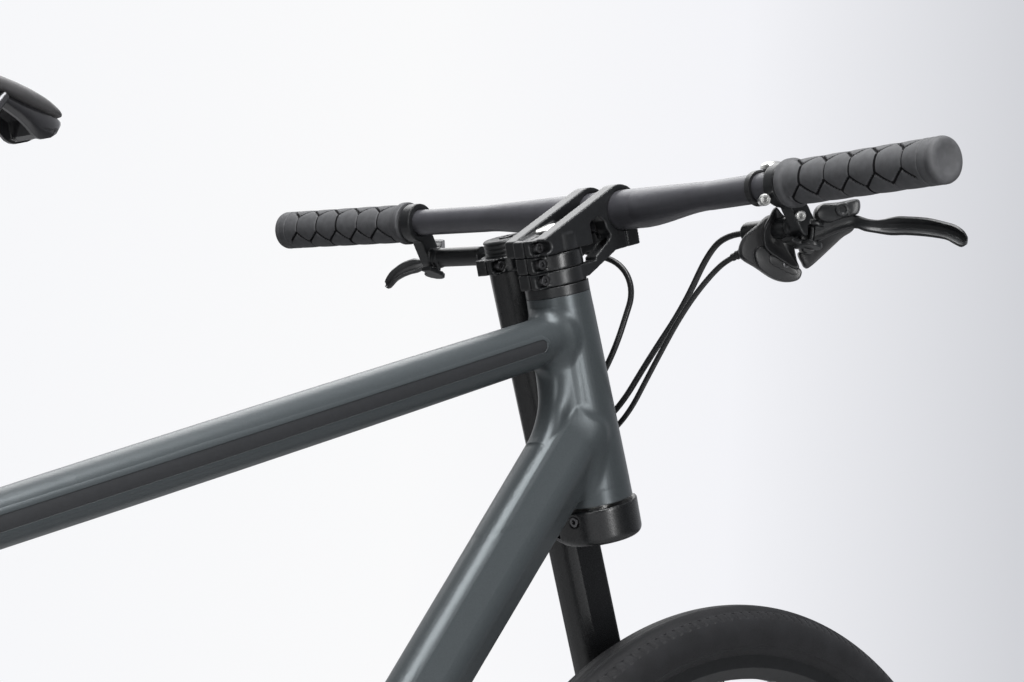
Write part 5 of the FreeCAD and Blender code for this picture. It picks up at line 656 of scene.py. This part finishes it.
# Thins the cover from below, slice by slice along its length
def thinCover(mesh):
    slices = {}
    for vertex in mesh.vertices:
        slices.setdefault(round(vertex.co.x / mm / saddle["slice"]), []).append(vertex.co.z)
    for vertex in mesh.vertices:
        heights = slices[round(vertex.co.x / mm / saddle["slice"])]
        low, high = min(heights), max(heights)
        share = (vertex.co.z - low) / max(high - low, mm * mm)
        topLift, lowLift = coverLift(saddle["noseX"] - vertex.co.x / mm)
        vertex.co.z += (lowLift + (topLift - lowLift) * share) * mm
        vertex.co.x += saddle["forward"] * mm


def makeCover():
    grid = gridOf("saddle_cover")
    bmesh.ops.remove_doubles(grid, verts=grid.verts, dist=mergeGap)
    grid.normal_update()
    for vertex in grid.verts:
        vertex.co -= vertex.normal * (saddle["shrink"] * mm)
    grid = voxelGrid("saddleCover", grid, saddle["voxel"])
    smoothGrid(grid, saddle["smoothing"])
    mesh = meshFrom("saddleCover", grid)
    thinCover(mesh)
    piece = addObject("saddleCover", mesh)
    swell(piece)
    smoother = piece.modifiers.new("smoother", "SUBSURF")
    smoother.levels = smoother.render_levels = 1
    piece.data = takeMesh(piece)
    piece.modifiers.clear()
    piece.data.shade_smooth()
    piece.data.materials.clear()
    piece.data.materials.append(saddleSkin)
    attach(piece, "seat")
    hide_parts("saddle_cover")


# Blows the cover up a little, with its underside held
def swell(piece):
    start = [vertex.co.copy() for vertex in piece.data.vertices]
    held = piece.vertex_groups.new(name="held")
    piece.data.update()
    for vertex in piece.data.vertices:
        if vertex.normal.z < saddle["underside"]:
            held.add([vertex.index], 1.0, "REPLACE")
    cloth = piece.modifiers.new("cloth", "CLOTH")
    cloth.settings.vertex_group_mass = "held"
    cloth.settings.use_pressure = True
    cloth.settings.uniform_pressure_force = saddle["pressure"]
    cloth.settings.effector_weights.gravity = 0
    cloth.point_cache.frame_start, cloth.point_cache.frame_end = 1, saddle["frames"]
    for number in range(1, saddle["frames"] + 1):
        scene.frame_set(number)
    swollen = takeMesh(piece)
    piece.modifiers.clear()
    for vertex, rest, moved in zip(piece.data.vertices, start, swollen.vertices):
        shift = moved.co - rest
        if shift.length > saddle["cap"] * mm:
            shift *= saddle["cap"] * mm / shift.length
        vertex.co = rest + shift
    meshes.remove(swollen)
    scene.frame_set(1)


# Each station: outer walls down to the skirt, back up inside to the roof, and down again
def makeShell():
    grid = bmesh.new()
    rings = []
    front = saddle["noseX"] + saddle["forward"] - saddle["shellBack"]
    for at, half, top, deep, roof in shellStations:
        wall = min(saddle["wall"], half * saddle["wallShare"])
        inner = half - wall
        foot = half * 0.86
        outline = [(foot, 0), (half * 0.97, -deep * 0.25), (half, -deep * 0.5), (half * 0.96, -deep * 0.78),
                   (foot, -deep), (foot - wall, -deep), (inner * 0.86, -max(roof, deep * 0.7)),
                   (inner * 0.8, -roof), (0, -roof)]
        outline += [(-side, drop) for side, drop in reversed(outline[:-1])]
        level = saddle["topZ"] + top + coverLift(at)[1] + saddle["shellLift"]
        rings.append([grid.verts.new(Vector((front - at, side, level + drop)) * mm) for side, drop in outline])
    skinRings(grid, rings, closedEnds=True)
    return addPiece("saddleShell", grid, [plasticGloss], "seat", ["saddle_base"])


# Rails: bent up into the shell in front of and behind the clamp
def makeRails():
    grid = bmesh.new()
    for side in (1, -1):
        line = [(x * mm, side * y * mm, z * mm) for x, y, z in railLine]
        path = splineLine("railLine", line, saddle["railSteps"])
        tubeAlong(grid, path, lambda share: saddle["railRadius"] * mm)
    return addPiece("saddleRailPair", grid, [steelDark], "seat", ["saddle_rails"])


makeCover()
makeShell()
makeRails()
print("saddle made")

# Hand controls, drawn in a frame that faces the rider: across, up and towards the rider, in millimetres

control = dict(origin=(55.8, -180.5, 183.5), across=(0.7111, -0.6803, -0.1773),
               upward=(0.215, -0.0296, 0.9762), toward=(-0.6694, -0.7323, 0.1252))
controlTurn = Matrix((control["across"], control["upward"], control["toward"])).transposed().to_4x4()
controlPlace = forkPlace @ Matrix.Translation(Vector(control["origin"]) * mm) @ controlTurn


# A point between b and c, on the smooth curve through a, b, c and d
def between(a, b, c, d, t):
    return 0.5 * (2 * b + (c - a) * t + (2 * a - 5 * b + 4 * c - d) * t * t
                  + (3 * b - a - 3 * c + d) * t * t * t)


# A closed smooth curve through outline points
def rounded(outline, steps):
    line = []
    count = len(outline)
    for index in range(count):
        corners = [Vector(outline[(index + shift) % count]) for shift in (-1, 0, 1, 2)]
        line += [between(*corners, step / steps) for step in range(steps)]
    return line


# A soft-edged solid: the outline, scaled and lifted layer by layer from front to back
def pillow(grid, outline, layers, place, steps=5, material=0):
    line = rounded(outline, steps)
    middle = sum(line, Vector((0, 0))) / len(line)
    rings = []
    for share, lift in layers:
        ring = []
        for point in line:
            spot = middle + (point - middle) * share
            ring.append(grid.verts.new(place @ (Vector((spot.x, spot.y, lift)) * mm)))
        rings.append(ring)
    before = len(grid.faces)
    skinRings(grid, rings, closedEnds=True)
    grid.faces.ensure_lookup_table()
    for face in grid.faces[before:]:
        face.material_index = material


def disc(radius, sides=20, centre=(0, 0)):
    return [(centre[0] + radius * cos(2 * pi * step / sides),
             centre[1] + radius * sin(2 * pi * step / sides)) for step in range(sides)]


podBody = [(-3.7, 23.6), (-12.5, 16.5), (-23.6, 5.9), (-25.8, -7.1), (-13.5, -15.9), (-1.5, -23.6),
           (10.3, -25.9), (18.1, -23.3), (19.4, -18.4), (16.2, -10.3), (12.1, 10.3), (7.7, 19.1)]
lowerCover = [(-15.9, -5.2), (-12.1, -0.3), (-8.5, -1), (-4.4, -5.6), (5.2, -12.1), (13.5, -17.1),
              (17.4, -16.2), (19.7, -19.4), (17.4, -24.6), (11, -26.6), (2.2, -25.5), (-6.6, -21.1),
              (-13, -15.2)]
coverPlate = [(-4.7, -7.7), (-0.7, -7.1), (15.5, -17.1), (13.5, -21.5), (2.2, -16.2), (-3.8, -12.7)]
bracketArm = [(10.3, 19.1), (16.9, 21.3), (23.6, 19.1), (25.6, 13.2), (30.9, 7.4), (25, 0), (19.1, -1.5),
              (14.7, 0), (12.1, 10.3)]
bracketFront = [(17.6, 16.5), (24.5, 14.5), (29, 7), (27.5, -4.5), (20.5, -5.5), (17, 2)]
paddle = [(-0.3, 29), (4.7, 23.8), (9.1, 19.7), (11.2, 13.2), (13.2, 1.5), (15.5, -10.3), (17.4, -16.2),
          (13.5, -17.1), (5.2, -12.1), (-4.4, -5.6), (-8.5, -0.7), (-10, 6.6), (-8.5, 14.7), (-4.7, 22.1)]
release = [(18.5, -4.7), (25, -1.5), (30.9, 0), (32.7, 5.6), (35.6, 13.2), (38.3, 17.4), (40.6, 13),
           (48.6, 17.4), (54.5, 21.2), (61.2, 21.3), (61.8, 16.8), (58.6, 11.5), (51.8, 7.1), (45.3, 1.2),
           (28.3, -14.4), (23.8, -15.6), (21.2, -11.8)]
perch = [(26.5, 25), (30.9, 30), (42.7, 31.2), (56.7, 33.6), (59.5, 29.4), (58.3, 23.6), (54.5, 21.3),
         (45.6, 19.1), (38.3, 16.5), (30.9, 16.9), (26.8, 19.7)]
boot = dict(points=((323.4, -165.8, 933.1), (323.7, -157.7, 931.2), (325.1, -149.3, 928.7)), steps=8,
            radius=4.6, taper=1.9, ripple=0.35, waves=26)
coverScrew = dict(radius=2.6, centre=(7.7, -13.5))


def bootRadius(share):
    return (boot["radius"] - boot["taper"] * share + boot["ripple"] * cos(share * boot["waves"])) * mm


def makeShifter():
    grid = bmesh.new()
    pillow(grid, podBody, [(0.8, 1), (0.93, 0.4), (1, -2.5), (1, -11), (0.9, -17), (0.7, -19)],
           controlPlace)
    pillow(grid, lowerCover, [(0.86, 5), (0.95, 4.4), (1, 2.6), (1, -8), (0.9, -10)], controlPlace)
    pillow(grid, coverPlate, [(0.93, 5.9), (1, 5.6), (1, 4)], controlPlace, steps=3)
    pillow(grid, bracketArm, [(0.86, -5), (0.96, -5.8), (1, -8), (1, -15), (0.9, -17)], controlPlace)
    bootLine = [Vector(point) * mm for point in boot["points"]]
    tubeAlong(grid, splineLine("bootLine", bootLine, boot["steps"]), bootRadius)
    pillow(grid, bracketFront, [(0.8, 15), (0.93, 14.4), (1, 12), (1, -6)], controlPlace, steps=3)
    pillow(grid, disc(coverScrew["radius"], centre=coverScrew["centre"]),
           [(0.45, 5.3), (0.5, 6.4), (0.85, 6.5), (1, 6.2), (1, 4.6)], controlPlace, 1, 1)
    return addPiece("shifterHousing", grid, [plasticBlack, steelDark], "fork", ["shifter_body"])


def makePaddle():
    grid = bmesh.new()
    pillow(grid, paddle, [(0.15, 3.2), (0.4, 3.6), (0.62, 4.8), (0.8, 7), (0.9, 8), (0.97, 7.4), (1, 6),
                          (1, 2.2), (0.94, 1.3)], controlPlace)
    return addPiece("thumbPaddle", grid, [plasticBlack], "thumb_lever", ["shift_lever"])


def makeRelease():
    grid = bmesh.new()
    pillow(grid, release, [(0.8, -6.4), (0.92, -6.6), (0.98, -7.6), (1, -9.5), (1, -15), (0.95, -17)],
           controlPlace)
    return addPiece("releaseTrigger", grid, [plasticBlack], "finger_lever", ["release_lever"])


makeShifter()
makePaddle()
makeRelease()
print("shifter made")

# Brake levers: dished blades between a top and a low edge, in the fork frame

bladeEdges = [
    ((66, -214, 197), (62, -212, 182)), ((76, -226, 199), (73, -225, 187)),
    ((83.3, -236.7, 198.4), (81.5, -236.5, 188.6)), ((85, -247.4, 194.4), (81.2, -245.2, 186)),
    ((86.8, -256.5, 192.7), (82.7, -254.3, 183.6)), ((89.9, -268.8, 193.7), (84.8, -266, 180.8)),
    ((91.8, -277.8, 192.8), (87.8, -276.5, 179.7)), ((94.6, -292.9, 190.2), (90.7, -291.5, 177.2)),
    ((96.6, -306.2, 186), (93.9, -305.9, 173.5)), ((97.7, -314.3, 182.8), (93.8, -313, 169.8)),
    ((98, -320.2, 178.3), (94.1, -318.6, 167.1)), ((97.6, -322.8, 173.9), (96, -322.1, 168.4))]
bladeForm = dict(back=5.2, rim=1.7, dish=1.9, crown=1.4, between=3, dishFrom=0.3, dishRise=6, dishFall=9,
                 tip=0.45, tipRise=4)
# Share of the way from the top edge to the low one, and how far out of the blade
bladeRing = [(0, 0), (0.03, 0.7), (0.12, 1), (0.24, 0.55), (0.38, 0), (0.62, 0), (0.76, 0.55),
             (0.88, 1), (0.97, 0.7), (1, 0), (0.95, -0.5), (0.8, -0.85), (0.5, -1), (0.2, -0.85),
             (0.05, -0.5)]


def easedEdges():
    dense = []
    last = len(bladeEdges) - 1
    for index in range(last):
        around = [bladeEdges[min(last, max(0, index + shift))] for shift in (-1, 0, 1, 2)]
        for step in range(bladeForm["between"]):
            share = step / bladeForm["between"]
            dense.append([between(*(Vector(pair[side]) for pair in around), share) for side in (0, 1)])
    dense.append([Vector(point) for point in bladeEdges[-1]])
    return dense


def makeBlade(name, side, body, node):
    grid = bmesh.new()
    edges = easedEdges()
    rings = []
    for index, (top, low) in enumerate(edges):
        ahead = edges[min(len(edges) - 1, index + 1)]
        behind = edges[max(0, index - 1)]
        along = (ahead[0] + ahead[1] - behind[0] - behind[1]).normalized()
        drop = low - top
        outward = along.cross(drop).normalized()
        if outward.x > 0:
            outward = -outward
        share = index / (len(edges) - 1)
        dished = min(1, max(0, (share - bladeForm["dishFrom"]) * bladeForm["dishRise"]))
        dished *= min(1, (1 - share) * bladeForm["dishFall"])
        taper = min(1, bladeForm["tip"] + (1 - share) * bladeForm["tipRise"])
        ring = []
        for fall, lift in bladeRing:
            if lift >= 0:
                hollow = bladeForm["dish"] * dished * (1 - lift) * (0 < fall < 1)
                crown = (1 - dished) * bladeForm["crown"] * sin(pi * fall)
                reach = bladeForm["rim"] * lift - hollow + crown
            else:
                reach = lift * bladeForm["back"] * taper
            ring.append(grid.verts.new(forkPlace @ side @ ((top + drop * fall + outward * reach) * mm)))
        rings.append(ring)
    skinRings(grid, rings, closedEnds=True)
    return addPiece(name, grid, [alloyBlack], body, [node])


makeBlade("leverBladeRight", Matrix.Identity(4), "right_brake", "brake_lever_right")
makeBlade("leverBladeLeft", mirror, "left_brake", "brake_lever_left")

# Perches under the grips and bright clamp screws

pivot = dict(radius=5.2, centre=(45.5, 25.5))
screws = [dict(radius=4.4, centre=(-12.4, 32), front=47, low=26),
          dict(radius=4, centre=(13.6, 20.4), front=46, low=24)]
screwHead = [(0.36, -2.6), (0.42, -0.2), (0.8, 0), (0.95, -0.6), (1, -1.6), (1, -5), (0.8, -5.4)]


def makePerches():
    grid = bmesh.new()
    for side in bothSides:
        place = forkPlace @ side @ forkPlace.inverted() @ controlPlace
        pillow(grid, perch, [(0.72, 31), (0.9, 30), (1, 26.5), (1, 16), (0.9, 13)], place)
        pillow(grid, disc(pivot["radius"], centre=pivot["centre"]),
               [(0.5, 31.6), (0.62, 32.6), (0.9, 32.4), (1, 31.4), (1, 27)], place, 1)
    return addPiece("leverPerches", grid, [alloyBlack], "fork")


def makeScrews():
    grid = bmesh.new()
    for screw in screws:
        layers = [(share, screw["front"] + lift) for share, lift in screwHead] + [(0.8, screw["low"])]
        pillow(grid, disc(screw["radius"], centre=screw["centre"]), layers, controlPlace, 1)
    return addPiece("clampScrews", grid, [steelBrushed], "fork")


makePerches()
makeScrews()
print("levers made")

# Forged and clamped parts, with their edges rounded

softRounds = 3
softParts = {
    "stemForging": dict(source="stem", voxel=0.8, finish=alloyBlack, slot="black_alloy"),
    "crownClamp": dict(source="upper_crown", voxel=0.8, finish=forkBlack, slot="fork_black"),
    "crownRing": dict(source="lower_crown", voxel=0.9, finish=forkBlack, slot="fork_black"),
    "leverBodyRight": dict(source="brake_body_right", voxel=0.7, finish=alloyBlack, slot="black_alloy"),
    "leverBodyLeft": dict(source="brake_body_left", voxel=0.7, finish=alloyBlack, slot="black_alloy"),
}
for name, part in softParts.items():
    grid = gridOf(part["source"])
    bmesh.ops.remove_doubles(grid, verts=grid.verts, dist=mergeGap)
    grid = voxelGrid(name, grid, part["voxel"])
    smoothGrid(grid, softRounds)
    addPiece(name, grid, [part["finish"]], "fork", [part["source"]])
print("edges rounded")

# Weld skin: one smooth shell over the meeting of head tube, top tube and down tube

weld = dict(blend=11, proud=0.12, voxel=2.2, headLow=6, headHigh=161, topReach=45, downReach=165, fade=7,
            rounds=7, headInset=2, headRadius=32.5, headBand=33, topRun=70, topRadius=20.5, topBand=24,
            downRun=200, downAhead=10, webHalf=14, margin=4, dive=3, flat=0.2, pull=0.8, ease=0.9,
            smoothing=0.4)
downSection = [(-12, -35.5), (12, -35.5), (32, -3), (16, 35.5), (-16, 35.5), (-32, -3)]
webOutline = [(338.9, 810), (314.8, 878.5), (281, 868), (287.5, 848), (290, 818), (277, 790), (294, 775)]
topFore = Vector((314.837, 0, 878.482)) * mm
topLine = Vector((0.948208, 0, 0.31765))
downFore = Vector((338.941, 0, 810.035)) * mm
downLine = Vector((0.647481, 0, 0.762082))


def treeOf(name):
    grid = gridOf(name)
    tree = BVHTree.FromBMesh(grid)
    grid.free()
    return tree


def addPrism(grid, start, end, corners, across):
    heading = (end - start).normalized()
    other = heading.cross(across)
    rings = []
    for spot in (start, end):
        rings.append([grid.verts.new(spot + (across * a + other * b) * mm) for a, b in corners])
    skinRings(grid, rings, closedEnds=True)


# A rough form of the three tubes and the web between them, for the skin to start from
def weldGround():
    grid = bmesh.new()
    inset = steerAxis * (weld["headInset"] * mm)
    addPrism(grid, headFoot + inset, headTop - inset, disc(weld["headRadius"], 44), axisY)
    addPrism(grid, topFore - topLine * (weld["topRun"] * mm), topFore, disc(weld["topRadius"], 32), axisY)
    downLow = downFore - downLine * (weld["downRun"] * mm)
    addPrism(grid, downLow, downFore + downLine * (weld["downAhead"] * mm), downSection, axisY)
    rings = [[grid.verts.new(Vector((x, side, z)) * mm) for x, z in webOutline]
             for side in (-weld["webHalf"], weld["webHalf"])]
    skinRings(grid, rings, closedEnds=True)
    bmesh.ops.recalc_face_normals(grid, faces=grid.faces[:])
    return voxelGrid("weldGround", grid, weld["voxel"])


# How far a point lies inside the covered stretch of the three tubes, in millimetres
def coverage(point):
    alongHead = (point - headFoot).dot(steerAxis) / mm
    radial = ((point - headFoot) - steerAxis * (alongHead * mm)).length / mm
    onHead = min(alongHead - weld["headLow"], weld["headHigh"] - alongHead)
    if radial < weld["headBand"]:
        return onHead
    onTop = weld["topReach"] - (topFore - point).dot(topLine) / mm
    onDown = weld["downReach"] - (downFore - point).dot(downLine) / mm
    fromTop = ((point - topFore) - topLine * (point - topFore).dot(topLine)).length / mm
    return min(onHead, onTop if fromTop < weld["topBand"] else onDown)


# Pulls a point to the level at which the distances to the three tubes blend
def settle(point, trees):
    reach = weld["blend"] * mm
    level = weld["proud"] * mm
    for each in range(weld["rounds"]):
        weights = Vector((0, 0, 0))
        total = 0.0
        for tree in trees:
            near, normal, index, distance = tree.find_nearest(point)
            share = max(0, reach - distance)
            total += share * share
            weights += (normal if distance < 1e-6 else (point - near) / distance) * share
        total = sqrt(total)
        if total == 0.0:
            near = min((tree.find_nearest(point) for tree in trees), key=lambda hit: hit[3])[0]
            point = point + (near - point) * weld["pull"]
            continue
        height = reach - total
        slope = weights / total
        if slope.length < weld["flat"]:
            break
        point = point - slope * ((height - level) / slope.length_squared) * weld["ease"]
    return point


def makeWeld():
    grid = weldGround()
    trees = [treeOf(name) for name in ("head_tube", "top_tube", "down_tube")]
    far = [vertex for vertex in grid.verts if coverage(vertex.co) < -weld["margin"]]
    bmesh.ops.delete(grid, geom=far, context="VERTS")
    for each in range(2):
        smoothGrid(grid, 1)
        for vertex in grid.verts:
            vertex.co = settle(vertex.co, trees)
    bmesh.ops.subdivide_edges(grid, edges=grid.edges[:], cuts=1, use_grid_fill=True)
    for vertex in grid.verts:
        vertex.co = settle(vertex.co, trees)
    smoothGrid(grid, 2, weld["smoothing"])
    outside = [vertex for vertex in grid.verts if coverage(vertex.co) < 0]
    bmesh.ops.delete(grid, geom=outside, context="VERTS")
    grid.normal_update()
    for vertex in grid.verts:
        inner = coverage(vertex.co)
        if inner < weld["fade"]:
            vertex.co -= vertex.normal * ((1 - inner / weld["fade"]) * weld["dive"] * weld["proud"] * mm)
    return addPiece("weldSkin", grid, [framePaint], "frame")


makeWeld()
print("weld skin made")

# Bumper strips along the top tube, longer than the solid ones: they run on out of the photograph

strip = dict(start=45.2, length=556, half=9.4, bezel=4.4, surround=0.8, rubber=0.35, edge=-0.15, inset=1.1,
             lip=0.35, lipDrop=0.06, radius=18.8, thin=17.2, taperStart=407.8, run=627.3, step=6)
outerAngles = range(6, 91, 7)
innerAngles = (1, 8, 20, 32, 44, 56, 68, 80, 90)


# Half the width of a strip with round ends, at a spot along it
def stadiumHalf(spot, length, half):
    edge = min(spot, length - spot)
    if edge <= 0:
        return 0.0
    return half if edge >= half else sqrt(half ** 2 - (half - edge) ** 2)


# Places along the strip: close together in both round ends, evenly spaced between them
def stripSpots():
    length, half, bezel = strip["length"], strip["half"], strip["bezel"]
    ends = [half * (1 - cos(radians(angle))) for angle in outerAngles]
    ends += [bezel + (half - bezel) * (1 - cos(radians(angle))) for angle in innerAngles]
    ends = sorted(ends)
    straight = length - 2 * ends[-1]
    count = int(straight / strip["step"])
    spots = ends + [ends[-1] + straight * number / count for number in range(1, count)]
    return spots + [length - spot for spot in reversed(ends)]


# Across the strip: a painted surround that swells out of the tube, and the rubber lying lower inside it
def stripSection(outer, inner):
    high = strip["surround"]
    level = strip["rubber"] if inner > 0 else high
    lip = max(inner, outer * 0.2)
    step = min(strip["lip"], outer * 0.1)
    across = [(outer, strip["edge"]), (outer - (outer - lip) * 0.4, high * 0.65), (lip + step, high),
              (lip, high - strip["lipDrop"]), (lip - step * 0.5, level), (lip * 0.5, level), (0, level)]
    across += [(-side, rise) for side, rise in reversed(across[:-1])]
    return across + [(-outer * 0.9, -strip["inset"]), (0, -strip["inset"]), (outer * 0.9, -strip["inset"])]


def makeStrips():
    grid = bmesh.new()
    tubeUp = topLine.cross(axisY)
    length, half, bezel = strip["length"], strip["half"], strip["bezel"]
    innerHalf, innerLength = half - bezel, length - 2 * bezel
    for side in (1, -1):
        before = len(grid.faces)
        rings = []
        for spot in stripSpots():
            outer = stadiumHalf(spot, length, half)
            inner = stadiumHalf(spot - bezel, innerLength, innerHalf)
            at = strip["start"] + spot
            thinning = max(0, at - strip["taperStart"]) / (strip["run"] - strip["taperStart"])
            tube = strip["radius"] + (strip["thin"] - strip["radius"]) * thinning
            centre = topFore - topLine * (at * mm)
            ring = []
            for level, rise in stripSection(outer, inner):
                out = sqrt((tube + rise) ** 2 - level * level)
                ring.append(grid.verts.new(centre + (tubeUp * level + axisY * (side * out)) * mm))
            rings.append(ring)
        skinRings(grid, rings, closedEnds=True)
        for face in grid.faces[before:]:
            spot = face.calc_center_median() - topFore
            along = -spot.dot(topLine) / mm - strip["start"] - bezel
            level = abs(spot.dot(tubeUp)) / mm
            face.material_index = 0 if level < stadiumHalf(along, innerLength, innerHalf) else 1
    return addPiece("bumperStrips", grid, [rubberStrip, framePaint], "frame", ["top_tube_bumper"])


makeStrips()
print("strips made")

# Bell: a low dome on a dark foot, clipped round the bar

bell = dict(at=183.6, ringInner=11.15, ringOuter=13.4, ringHalf=3.1, chamfer=0.5, dome=10.6, height=6.6,
            rim=1.2, foot=0.8, spot=(4, 15.5, 11.5), lean=14, turn=6)


def makeBell():
    grid = bmesh.new()
    place = forkPlace @ endPlace
    half, flat = bell["ringHalf"], bell["ringHalf"] - bell["chamfer"]
    rings = []
    for radius, along in ((bell["ringInner"], -half), (bell["ringOuter"], -flat), (bell["ringOuter"], flat),
                          (bell["ringInner"], half)):
        points = [Vector((a, bell["at"] + along, b)) * mm for a, b in disc(radius, 40)]
        rings.append([grid.verts.new(place @ point) for point in points])
    skinRings(grid, rings, loop=True)
    fore, inward, rise = bell["spot"]
    domePlace = (place @ Matrix.Translation(Vector((fore, bell["at"] - inward, rise)) * mm)
                 @ Matrix.Rotation(radians(bell["lean"]), 4, "Y")
                 @ Matrix.Rotation(radians(bell["turn"]), 4, "X"))
    rim, crown = bell["rim"], bell["height"] - bell["rim"]
    shell = [(0.86, 0.2), (1, 0), (1, rim)]
    for angle in range(12, 88, 8):
        shell.append((cos(radians(angle)), rim + crown * sin(radians(angle))))
    pillow(grid, disc(bell["dome"], 36), shell, domePlace, 1, 1)
    pillow(grid, disc(bell["dome"] * bell["foot"], 28), [(1, 0.9), (1, -1), (0.9, -2)], domePlace, 1)
    return addPiece("bellDome", grid, [plasticBlack, chrome], "fork", ["bell"])


makeBell()
print("bell made")
